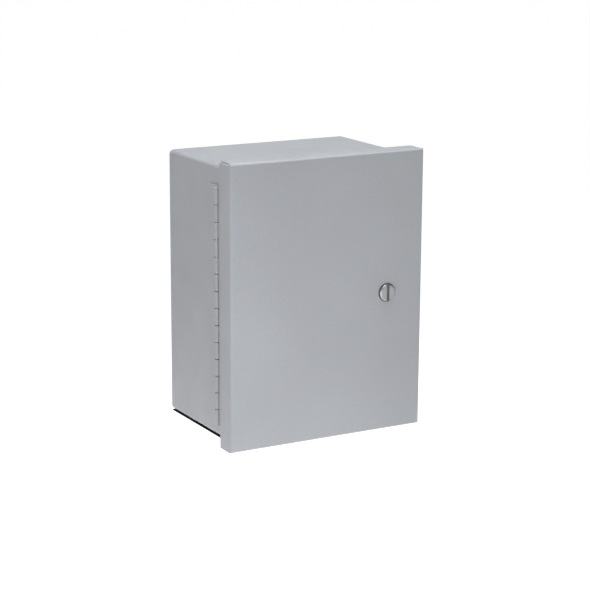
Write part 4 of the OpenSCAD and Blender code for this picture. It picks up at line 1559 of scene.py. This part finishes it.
@dataclass
class MainBoard(Assembly):
    """Main circuit board on standoffs with its components."""

    corners: tuple = ((-17, -29), (83, -29), (-17, 93), (83, 93))
    relay_x: tuple[float, ...] = (-14, 9, 32)
    cans: tuple = ((58, 24, 6.3), (75, 24, 6.3), (-12, 26, 5.0))
    free_areas: tuple = ((-18, 38, -1, 80), (1, 75, 60, 92), (32, 46, 40, 55), (64, 62, 85, 76),
                         (-18, 11.5, 48, 17),
                         (-18, -11.5, 85, -8), (54, -4, 84, 14))
    part_pitch: Pair = (3.6, 2.6)

    def build(self) -> None:
        """Make the board, its supports and its components."""
        self.rounded_copies(0.12, "main_board", "display_board")
        self.rounded_copies(0.22, "field_terminals", "heat_sink")
        self.build_supports()
        self.build_chips()
        self.build_relays()
        self.build_cans()
        self.build_regulator()
        self.build_small_parts()
        self.build_prints()

    def build_supports(self) -> None:
        """Set the hexagon standoffs and the board screws."""
        rear = self.screws(Fasteners.hex_nut(3.1, 8, 1.55), [(x, PANEL_Y, z) for x, z in self.corners], 31)
        front = self.screws(Fasteners.hex_nut(3.1, 10, 1.55), [(x, SHOW_Y, z) for x, z in DISPLAY_CORNERS], 32)
        finish_piece(Shop.join("standoffs", [rear, front]), ["hex_standoffs"])
        finish_piece(self.screws(Fasteners.pan_head(2.9, 2, 1.5, 6), [(x, BOARD_FRONT, z) for x, z in self.corners],
                                 33, "board_corner_screws"), ["board_screws"])

    def build_chips(self) -> None:
        """Make the packages and bend their pins down to the board."""
        top = BOARD_FRONT - 2.6
        bodies = [Shop.block("body", (3.6, top, 45.6), (28.4, BOARD_FRONT - 0.3, 70.4), 0.35)]
        bodies += [Shop.block("body", (42.4, top, z), (61.6, BOARD_FRONT - 0.3, z + 4.4), 0.35)
                   for z in (63.3, 47.3)]
        marks = [Shop.lathe("mark", [(0, 1), (0.9, 1), (0.9, -0.25), (0, -0.25)], (x, top, z), Axis.Y, 16)
                 for x, z in ((6.4, 67.6), (44.2, 64.6), (44.2, 48.6))]
        package = Shop.join("chip_packages", bodies)
        finish_piece(Shop.cut(package, marks), ["chips"])
        wing = [(0, 1.3), (0, 1.5), (0.55, 1.5), (0.8, 0.22), (1.6, 0.22), (1.6, 0), (0.62, 0), (0.42, 1.3)]
        pin = Shop.prism("pin", [(-h, along) for along, h in wing], -0.2, 0.2, Axis.X)
        places, turns = [], []
        for k in range(24):
            step = 4.5 + k
            for x, z, turn in ((step, 70.4, 0), (step, 45.6, math.pi)):
                places.append((x, BOARD_FRONT, z)), turns.append((0, turn, 0))
            for x, z, turn in ((28.4, step + 42, math.pi / 2), (3.6, step + 42, -math.pi / 2)):
                places.append((x, BOARD_FRONT, z)), turns.append((0, turn, 0))
        for k in range(14):
            for z, turn in ((67.7, 0), (63.3, math.pi), (51.7, 0), (47.3, math.pi)):
                places.append((43.8 + 1.27 * k, BOARD_FRONT, z)), turns.append((0, turn, 0))
        finish_piece(COPIES.set_on("chip_pins", pin, places, "solder", turns), ["chips"], None, "solder")

    def build_relays(self) -> None:
        """Make each relay as a cap over a slightly wider base."""
        parts = []
        for x in self.relay_x:
            parts.append(Shop.block("cap", (x + 0.2, BOARD_Y - 17.1, -5.8), (x + 18.8, BOARD_Y - 4, 9.3), 0.7, 3))
            parts.append(Shop.block("base", (x, BOARD_Y - 4.2, -6), (x + 19, BOARD_FRONT, 9.5), 0.3))
            parts.append(Shop.lathe("vent", [(0, 0.35), (0.9, 0.3), (1.2, 0), (1.2, -0.5), (0, -0.5)],
                                        (x + 3.4, BOARD_Y - 17.1, 6.5), Axis.Y, 18))
        finish_piece(Shop.join("relay_cases", parts), ["relays"])

    def build_cans(self) -> None:
        """Make the capacitors with shrunk sleeves and scored tops."""
        sleeves, tops = [], []
        for x, z, r in self.cans:
            seat = (x, BOARD_FRONT, z)
            sleeves.append(Shop.lathe("sleeve", [(0, 0.2), (r - 0.5, 0.2), (r - 0.1, 0.6), (r, 1.4), (r, 2.3),
                                                     (r - 0.45, 2.9), (r, 3.5), (r, 18.9), (r - 0.25, 19.6),
                                                     (r - 0.9, 19.95), (r - 1.0, 19.7), (0, 19.6)], seat, Axis.Y,
                                      40))
            top = Shop.lathe("top", [(0, 19.3), (r - 0.95, 19.3), (r - 0.95, 19.86), (0, 19.92)], seat, Axis.Y, 40)
            score = [Shop.block("score", (x - a, BOARD_FRONT - 21, z - b), (x + a, BOARD_FRONT - 19.7, z + b))
                     for a, b in ((r * 0.6, 0.12), (0.12, r * 0.6))]
            tops.append(Shop.cut(top, score))
        finish_piece(Shop.join("capacitor_sleeves", sleeves), ["capacitors"])
        finish_piece(Shop.join("capacitor_tops", tops), ["capacitors"], None, "bright_fastener")

    def build_regulator(self) -> None:
        """Make the regulator's body, its tab and its legs."""
        body = Shop.block("regulator_body", (70, BOARD_Y - 13.5, 41.5), (80, BOARD_Y - 6.6, 45.0), 0.3)
        finish_piece(body, ["regulator"])
        tab = Shop.block("tab", (70, BOARD_Y - 18.6, 44.7), (80, BOARD_Y - 6.8, 46), 0.2)
        hole = Shop.lathe("hole", [(0, 43), (1.8, 43), (1.8, 47), (0, 47)], (75, BOARD_Y - 16, 0), Axis.Z, 20)
        legs = [Shop.block("leg", (x, BOARD_Y - 7, 43.2), (x + 0.8, BOARD_FRONT + 0.2, 43.8), 0.1)
                for x in (72, 74.6, 77.2)]
        screw = COPIES.set_on("screw", Fasteners.pan_head(2.7, 1.6, 1.3, 2), [(75, BOARD_Y - 16, 44.7)], "solder",
                              [(math.pi / 2, 0, 0)])
        whole = Shop.join("regulator_metal", [Shop.cut(tab, [hole]), *legs, screw])
        finish_piece(whole, ["regulator"], None, "solder")

    def build_small_parts(self) -> None:
        """Scatter chip resistors and capacitors over the free areas."""
        draw = random.Random(47)
        places: dict[str, list] = {"component_black": [], "ceramic_tan": []}
        turns: dict[str, list] = {"component_black": [], "ceramic_tan": []}
        for x0, z0, x1, z1 in self.free_areas:
            across, up = int((x1 - x0) / self.part_pitch[0]), int((z1 - z0) / self.part_pitch[1])
            for i in range(across):
                for j in range(up):
                    kind, turn = draw.choice(tuple(places)), draw.choice((0, 0, math.pi / 2))
                    if draw.random() < 0.5:
                        places[kind].append((x0 + (i + 0.5) * self.part_pitch[0], BOARD_FRONT,
                                             z0 + (j + 0.5) * self.part_pitch[1]))
                        turns[kind].append((0, turn, 0))
        ends = []
        for kind, rows in places.items():
            tall = 0.5 if kind == "component_black" else 0.85
            body = Shop.block("chip", (-0.65, -tall, -0.42), (0.65, 0.02, 0.42))
            trim(COPIES.set_on("small_" + kind, body, rows, kind, turns[kind]), kind)
            caps = Shop.join("caps", [Shop.block("cap", (s * 0.8 - 0.2, -tall - 0.03, -0.44),
                                                         (s * 0.8 + 0.2, 0.02, 0.44)) for s in (-1, 1)])
            ends.append(COPIES.set_on("ends", caps, rows, "solder", turns[kind]))
        trim(Shop.join("small_part_ends", ends), "solder")
        can = Shop.block("can", (32.6, BOARD_FRONT - 3.6, 58), (38.6, BOARD_FRONT, 69.2), 1.4, 4)
        pin = Shop.block("post", (-0.32, -8.2, -0.32), (0.32, 0, 0.32), 0.15, 1)
        posts = COPIES.set_on("posts", pin, [(65 + 2.54 * i, BOARD_FRONT, 80 + 2.54 * j) for i in range(7)
                                             for j in range(2)],
                              "solder")
        trim(Shop.join("crystal_and_posts", [can, posts]), "solder")
        header = Shop.block("header", (63.7, BOARD_FRONT - 2.5, 78.7), (81.6, BOARD_FRONT, 83.9), 0.25)
        trim(header, "component_black")

    def build_prints(self) -> None:
        """Lay the copper tracks and print the component outlines."""
        runs = []
        for k in range(9):
            x = 5 + 1.6 * k
            runs.append([(x, 44), (x, 42.6 - 0.35 * k), (x + 8 - 0.6 * k, 36 + 0.5 * k), (x + 8 - 0.6 * k, 12)])
        for k in range(8):
            z = 48 + 1.3 * k
            runs.append([(30, z), (33 + 0.4 * k, z), (37 + 0.4 * k, z + 4 - k), (42, z + 4 - k)])
        for k in range(16):
            x = -8.4 + 5.6 * k + (k // 4) * 2.6
            runs.append([(x, -13), (x, -10.5 + 0.3 * (k % 4)), (x + 1.6, -8.5 + 0.3 * (k % 4)), (x + 1.6, -6)])
        for k in range(6):
            runs.append([(86 - 0.8 * k, 90), (86 - 0.8 * k, 40), (80 - 0.8 * k, 34), (80 - 0.8 * k, 32)])
            runs.append([(-20 + 0.8 * k, 84), (-20 + 0.8 * k, 34 - 0.4 * k), (-16, 31.5 - k * 0.4), (-16, 31.2)])
        lines = [[(x, BOARD_FRONT + 0.06, z) for x, z in run] for run in runs]
        trim(SWEEPS.lay("board_tracks", lines, 0.17, "copper_track", 6, 0), "copper_track")
        frames = [(-15, -7, 6, 10.5), (8, -7, 29, 10.5), (31, -7, 52, 10.5), (0.6, 42.6, 31.4, 73.4),
                  (41, 45, 63, 54), (41, 61, 63, 70), (31.6, 57, 39.6, 70.2), (12.6, 31.4, 29.4, 42.2),
                  (62.6, 77.6, 82.7, 85), (-14.4, 82.4, 0.6, 89.6)]
        prints = [Shop.hoop("frame", ((a + c) / 2, (b + d) / 2), ((c - a) / 2, (d - b) / 2), 0.3, 0.22,
                                BOARD_FRONT - 0.04, BOARD_FRONT + 0.02) for a, b, c, d in frames]
        prints += [Shop.hoop("ring", (x, z), (r + 0.8, r + 0.8), r + 0.79, 0.22, BOARD_FRONT - 0.04,
                                 BOARD_FRONT + 0.02) for x, z, r in self.cans]
        trim(Shop.join("board_outlines", prints), "legend_white")


# ---------- control face


@dataclass
class ControlFace(Assembly):
    """Painted control plate with display, lamps, buttons and sounder."""

    lamps: dict = field(default_factory=lambda: {
        "alarm_leds": ((28, 100), (28, 88)), "trouble_leds": ((52, 100), (52, 88), (28, 76)),
        "power_led": ((76, 100),)})
    buttons: dict = field(default_factory=lambda: {
        "button_ack": -66.0, "button_silence": -38.0, "button_reset": -10.0})
    button_z: float = 52.0
    cap: float = 6.0
    screw_places: tuple = ((-94, 37), (94, 37), (-94, 109), (94, 109))

    def build(self) -> None:
        """Make the chassis, the plate and everything on it."""
        self.rounded_copies(0.3, "sub_panel")
        self.rounded_copies(0.25, "face_plate", "tact_switches")
        self.rounded_copies(0.5, "buzzer")
        self.build_display()
        self.build_screws()
        self.build_lamps()
        for node, x in self.buttons.items():
            self.build_button(node, x)
        self.build_legends()
        self.build_ribbon()

    def build_display(self) -> None:
        """Make the metal bezel and the cell behind its window."""
        self.rounded_copies(0.35, "lcd_module")
        low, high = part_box("lcd_glass")
        cell = Shop.block("display_window", [v / MM for v in low], [v / MM for v in high], 0.2)
        finish_piece(cell, ["lcd_glass"])
        rim = Shop.hoop("display_rim", (-34, 88), (38.4, 14.4), 1.6, 1.5, FACE_FRONT - 0.7, FACE_FRONT + 0.02)
        trim(Shop.soften(rim, 0.2 * MM), "component_black")

    def build_screws(self) -> None:
        """Set the plate's screws and the display board's."""
        edge, inner = (self.screws(unit, [(x, FACE_FRONT, z) for x, z in corners], seed) for unit, corners, seed in
                       ((Fasteners.pan_head(3, 2, 1.6, 6), self.screw_places, 41),
                        (Fasteners.pan_head(2.9, 1.8, 1.5, 5), DISPLAY_CORNERS, 42)))
        finish_piece(Shop.join("plate_screws", [edge, inner]), ["face_screws"])

    def build_lamps(self) -> None:
        """Make the domed lamps and the rings round their holes."""
        dome = [(r, 11.2 + z) for r, z in arc((0, 0), 2.5, 90, 0, 8)]
        outline = [(0, 13.7)] + dome[1:] + [(2.5, 1), (2.9, 1), (2.9, 0), (0, 0)]
        for node, places in self.lamps.items():
            unit = Shop.lathe("lamp", outline, (0, 0, 0), Axis.Y, 28)
            lit = COPIES.set_on(node + "_domes", unit, [(x, SHOW_Y, z) for x, z in places], SLOT_OF[node])
            finish_piece(lit, [node])
        ring = Shop.lathe("ring", [(2.7, -0.02), (4.2, -0.02), (4.2, 0.3), (3.7, 0.85), (2.95, 0.95), (2.7, 0.7)],
                              (0, 0, 0), Axis.Y, 32)
        places = [(x, FACE_FRONT, z) for rows in self.lamps.values() for x, z in rows]
        trim(COPIES.set_on("lamp_rings", ring, places, "component_black"), "component_black")

    def build_button(self, node: str, x: float) -> None:
        """Make a button with a dished cap, a flange and a stem.

        Args:
            node: CAD node of the button.
            x: Its place across the plate.
        """
        tip, base = FACE_FRONT - 3, FACE_Y + 0.5
        c = self.cap
        rows = [(c, base), (c, tip + 0.9), (c - 0.08, tip + 0.45), (c - 0.3, tip + 0.15), (c - 0.65, tip),
                (c - 1.1, tip + 0.04), (c - 2.2, tip + 0.3), (c - 3.6, tip + 0.48), (c - 5.2, tip + 0.55)]
        loops = [[Vector((x + a, y, self.button_z + b)) * MM for a, b in
                  rounded_outline(half, half, min(1.1 + 0.12 * k, half * 0.6), 5)]
                 for k, (half, y) in enumerate(rows)]
        cap = Shop.loft(node + "_cap", loops)
        flange = Shop.block("flange", (x - 7.5, FACE_Y + 0.4, self.button_z - 7.5),
                                (x + 7.5, FACE_Y + 1.6, self.button_z + 7.5))
        stem = Shop.lathe("stem", [(0, 0.1), (2.5, 0.1), (2.5, -1.9), (2.3, -2.1), (0, -2.1)],
                              (x, FACE_Y + 1.5, self.button_z), Axis.Y, 24)
        finish_piece(Shop.smooth(Shop.cut(cap, [flange, stem], "UNION"), 40), [node])

    def build_legends(self) -> None:
        """Print plain frames and blank legend bars on the plate."""
        rear, front = FACE_FRONT + 0.02, FACE_FRONT - 0.05
        frames = [((-34, 88), (44, 19)), ((52, 88), (37, 19)), ((-38, 52), (44, 13)), ((60, 56), (16, 13))]
        prints = [Shop.hoop("frame", centre, half, 2.0, 0.35, front, rear) for centre, half in frames]
        for rows in self.lamps.values():
            prints += [Shop.block("bar", (x + 6, front, z - 0.5), (x + 16, rear, z + 0.5)) for x, z in rows]
        prints += [Shop.block("bar", (x - 6, front, 42.1), (x + 6, rear, 43.1)) for x in self.buttons.values()]
        trim(Shop.join("plate_legends", prints), "legend_white")

    def build_ribbon(self) -> None:
        """Run the ridged ribbon between its two sockets."""
        line = [(-30.5, 34.4), (-38, 30.9), (-57, 24.6), (-62, 22.9), (-66.3, 22.6), (-71, 24.9), (-75.6, 28.6),
                (-76.6, 34), (-76.9, 40), (-77.6, 44.5)]
        runs = [[(14.65 + 1.27 * k, y, z) for y, z in line] for k in range(11)]
        finish_piece(SWEEPS.lay("ribbon_strands", runs[1:], 0.62, "ribbon_grey", 8, 5), ["ribbon_cable"])
        finish_piece(SWEEPS.lay("ribbon_edge_strand", runs[:1], 0.62, "wire_red", 8, 5), ["ribbon_cable"], None,
                     "wire_red")
        sockets = [Shop.block("socket", (13.6, -32.4, 33.6), (28.4, BOARD_FRONT, 40.8), 0.4),
                   Shop.block("socket", (13.6, SHOW_Y + 1.6, 40.2), (28.4, -77.4, 47.8), 0.4),
                   Shop.block("latch", (14.6, -33.6, 34.6), (27.4, -32, 39.8), 0.3),
                   Shop.block("latch", (14.6, -77.8, 41.2), (27.4, -76.2, 46.8), 0.3)]
        finish_piece(Shop.join("ribbon_sockets", sockets), ["ribbon_cable"], None, "component_black")


# ---------- batteries


@dataclass
class Batteries(Assembly):
    """Two sealed batteries, their bracket and their leads."""

    starts: dict = field(default_factory=lambda: {"battery_left": -91.5, "battery_right": 1.5})
    width: float = 90.0
    front: float = -82.0
    rear: float = -12.0
    tall: float = 101.0
    groove: float = 88.0
    bracket_x: tuple[float, ...] = (-70, 70)

    def build(self) -> None:
        """Make the batteries and what holds and joins them."""
        for node, start in self.starts.items():
            self.build_case(node, start)
        self.rounded_copies(0.12, "battery_terminals")
        self.rounded_copies(0.35, "battery_bracket")
        screws = COPIES.set_on("bracket_foot_screws", Fasteners.pan_head(3.2, 2.2, 1.6, 3),
                               [(x, -91, FLOOR_Z + 1.5) for x in self.bracket_x], "bright_fastener",
                               [(-math.pi / 2, 0, 0.7), (-math.pi / 2, 0, 0.2)])
        finish_piece(screws, ["bracket_screws"])
        self.build_leads()

    def build_case(self, node: str, start: float) -> None:
        """Mould a case with a welded lid, a vent cover and a blank front panel.

        Args:
            node: CAD node of the battery.
            start: Its left side.
        """
        cx, cy = start + self.width / 2, (self.front + self.rear) / 2
        half_w, half_d = self.width / 2, (self.rear - self.front) / 2
        g, top = self.groove, self.tall - 0.8
        rows = [(1.0, 0), (0.3, 0.3), (0, 1.0), (0, g - 0.3), (0.25, g), (1.1, g + 0.1), (1.1, g + 1.0),
                (0.25, g + 1.1),
                (0, g + 1.4), (0, top - 1.6), (0.3, top - 0.6), (1.3, top)]
        loops = [[Vector((cx + a, cy + b, FLOOR_Z + z)) * MM for a, b in
                  rounded_outline(half_w - inset, half_d - inset, 2.4, 6)] for inset, z in rows]
        case = Shop.loft(node + "_case", loops)
        panel = Shop.prism("panel", [(cx + a, FLOOR_Z + 50 + b) for a, b in rounded_outline(37, 30, 2, 4)],
                               self.front - 2, self.front + 0.45, Axis.Y)
        vent = Shop.prism("vent", [(cx + a, cy + b) for a, b in rounded_outline(24, 11, 2, 4)],
                              FLOOR_Z + top - 2, FLOOR_Z + self.tall)
        Shop.cut(case, [panel])
        Shop.cut(case, [vent], "UNION")
        finish_piece(Shop.soften(case, 0.2 * MM), [node])

    def build_leads(self) -> None:
        """Run the battery leads, each with a booted push-on end."""
        tab_y, tab_z, b = self.front + 7, FLOOR_Z + self.tall + 4.5, BOARD_Y
        runs = {"lead_red": [(79, tab_y, tab_z - 3), (79, tab_y - 1.5, tab_z + 4), (76, tab_y + 3, tab_z + 12),
                             (75, -58, -34), (73.4, -44, -39), (72.2, b - 11, -36), (72.2, b - 5.7, -27),
                             (72.2, b - 5.7, -20)],
                "lead_black": [(-81, tab_y, tab_z - 3), (-81, tab_y - 1.5, tab_z + 4), (-70, tab_y + 2, tab_z + 7),
                               (-20, -70, -40.5), (30, -58, -41.5), (55, -44, -41), (65, b - 11, -37),
                               (66.6, b - 6, -27), (66.6, b - 5.7, -20)],
                "lead_jumper": [(-14, tab_y, tab_z - 3), (-14, tab_y - 1.5, tab_z + 3.5),
                                (-8, tab_y - 3, tab_z + 9),
                                (6, tab_y - 3, tab_z + 9), (12, tab_y - 1.5, tab_z + 3.5), (12, tab_y, tab_z - 3)]}
        boots = {"lead_red": (79,), "lead_black": (-81,), "lead_jumper": (-14, 12)}
        for node, run in runs.items():
            finish_piece(SWEEPS.lay(node + "_run", [run], 1.5, SLOT_OF[node], 16), [node])
            sleeves = []
            for x in boots[node]:
                rows = [(3.7, 2.1, -3.6), (3.9, 2.3, -3.2), (3.9, 2.3, 2.0), (3.0, 2.2, 3.6), (1.9, 1.9, 5.4),
                        (1.7, 1.7, 6.2)]
                loops = [[Vector((x + a, tab_y + 0.6 - max(0, z) * 0.26 + c, tab_z + z)) * MM for a, c in
                          rounded_outline(hx, hy, hy * 0.92, 5)] for hx, hy, z in rows]
                boot = Shop.loft("boot", loops)
                sleeves.append(Shop.soften(boot, 0.0))
            trim(Shop.join(node + "_boots", sleeves), SLOT_OF[node])


# ---------- stage


@dataclass(frozen=True)
class SoftLamp:
    """A round soft light that points at a spot and is not seen itself."""

    name: str
    place: Point
    aim: Point
    size: float
    power: float

    def hang(self) -> None:
        """Put the light in the scene."""
        data = bpy.data.lights.new(self.name, "AREA")
        data.shape, data.size, data.energy = "DISK", self.size, self.power
        lamp = Shop.raise_object(self.name, data)
        lamp.location = self.place
        lamp.rotation_euler = (Vector(self.aim) - Vector(self.place)).to_track_quat("-Z", "Y").to_euler()
        lamp.visible_camera = False


@dataclass
class Stage:
    """Pale glowing floor, soft studio light and the camera."""

    target: Point = (0.00346, -0.08145, -0.01224)
    azimuth: float = -29.21
    elevation: float = 13.29
    roll: float = 0.29
    distance: float = 2.1325
    lens: float = 114.04
    floor_z: float = -0.1598
    reach: float = 40.0
    wall_radius: float = 12.0
    wall_height: float = 14.0
    world: float = 0.14
    glow: float = 0.98
    # Extra glow of the painted pool of light round the body, and how far it reaches in metres.
    painted_light_pool: float = 0.6
    painted_pool_reach: float = 0.7
    plinth: tuple = ((-114, -137, -159.9), (114, -1, -153.45))
    # Thin near-black strip on the plinth under the body: painted contact shadow.
    mat: tuple = ((-114, -137, -153.45), (114, -1, -152.45))
    lamps: tuple = (SoftLamp("overhead_left", (-0.15, -0.20, 1.1), (0, -0.1, 0.1), 0.5, 13.1),
                    SoftLamp("overhead_right", (0.15, -0.20, 1.1), (0, -0.1, 0.1), 0.5, 3.5),
                    SoftLamp("low_front_left", (-0.4, -0.6, -0.1), (0, -0.1, -0.05), 0.5, 1.3),
                    SoftLamp("low_front", (-0.1, -0.5, -0.12), (-0.02, -0.1, -0.12), 0.3, 0.45))

    def build(self) -> None:
        """Set the floor, the lights and the camera."""
        self.build_floor()
        self.build_lights()
        self.build_camera()

    def paper(self, name: str) -> Shader:
        """White glowing paper, with a painted pool of light brightest round the middle."""
        paper = Shader(name)
        paper.colour(paper.blend(paper.noise(0.4, 2), (0.11, 0.11, 0.11), (0.13, 0.13, 0.13)))
        paper.set(Roughness=0.9, Specular_IOR_Level=0.0, Emission_Color=(1, 1, 1, 1))
        # Painted pool of light: the floor's glow rises towards the spot under the body.
        ball = paper.add("ShaderNodeTexGradient")
        ball.gradient_type = "QUADRATIC_SPHERE"
        reach = 1 / self.painted_pool_reach
        paper.link(paper.mapped((reach, reach, reach), (0, 0.08, -self.floor_z)), ball.inputs["Vector"])
        glow = paper.span(ball.outputs["Fac"], self.glow, self.glow + self.painted_light_pool)
        paper.link(glow, paper.surface.inputs["Emission Strength"])
        return paper

    def build_floor(self) -> None:
        """Lay a wide pale floor with a far wall, a low plinth that lets the door hang clear, and a thin near-black
        strip on the plinth under the body as painted contact shadow.
        """
        wide = self.reach / MM
        floor = Shop.block("floor", (-wide, -wide, self.floor_z / MM - 10), (wide, wide, self.floor_z / MM))
        paper = self.paper("floor_paper").material
        # Near-black finish of the strip under the body: painted contact shadow.
        painted_shadow_finish = Moulded("painted_shadow_black", (0.008, 0.008, 0.009), 0.8).build()
        radius, low, high = self.wall_radius / MM, self.floor_z / MM, self.wall_height / MM
        wall = Shop.lathe("far_wall", [(radius, low), (radius, high), (radius * 1.002, high),
                                      (radius * 1.002, low)],
                              (0, 0, 0), Axis.Z, 96)
        wall.visible_diffuse = wall.visible_glossy = wall.visible_transmission = wall.visible_shadow = False
        for piece, material in ((floor, paper), (wall, paper), (Shop.block("plinth", *self.plinth), paper),
                                (Shop.block("mat", *self.mat), painted_shadow_finish)):
            piece.data.materials.append(material)

    def build_lights(self) -> None:
        """Set an even white world and the soft lights."""
        scene = bpy.context.scene
        scene.view_settings.view_transform = "Standard"
        scene.view_settings.look = "None"
        world = bpy.data.worlds.new("studio")
        world.use_nodes = True
        world.node_tree.nodes["Background"].inputs["Color"].default_value = (1, 1, 1, 1)
        world.node_tree.nodes["Background"].inputs["Strength"].default_value = self.world
        scene.world = world
        for lamp in self.lamps:
            lamp.hang()

    def build_camera(self) -> None:
        """Set the camera at its angle, with the slight roll."""
        az, el, roll = (math.radians(a) for a in (self.azimuth, self.elevation, self.roll))
        back = Vector((math.sin(az) * math.cos(el), -math.cos(az) * math.cos(el), math.sin(el)))
        right = Vector((math.cos(az), math.sin(az), 0))
        up = back.cross(right)
        turned_right = right * math.cos(roll) + up * math.sin(roll)
        turned_up = up * math.cos(roll) - right * math.sin(roll)
        data = bpy.data.cameras.new("camera")
        data.lens, data.sensor_width, data.clip_end = self.lens, SENSOR_WIDTH, SIGHT_LIMIT
        camera = Shop.raise_object("camera", data)
        turn = Matrix((turned_right, turned_up, back)).transposed().to_4x4()
        camera.matrix_world = Matrix.Translation(Vector(self.target) + back * self.distance) @ turn
        bpy.context.scene.camera = camera


def main() -> None:
    """Build the stage and every sub-assembly in order."""
    logging.basicConfig(level=logging.INFO, format="%(name)s %(message)s")
    Stage().build()
    for assembly in (Cabinet(), ContinuousHinge(), Door(), QuarterTurnLatch(), Transformer(), MainsInput(),
                     MainBoard(), ControlFace(), Batteries()):
        LOG.info("building %s", type(assembly).__name__)
        assembly.build()


if __name__ == "__main__":
    main()
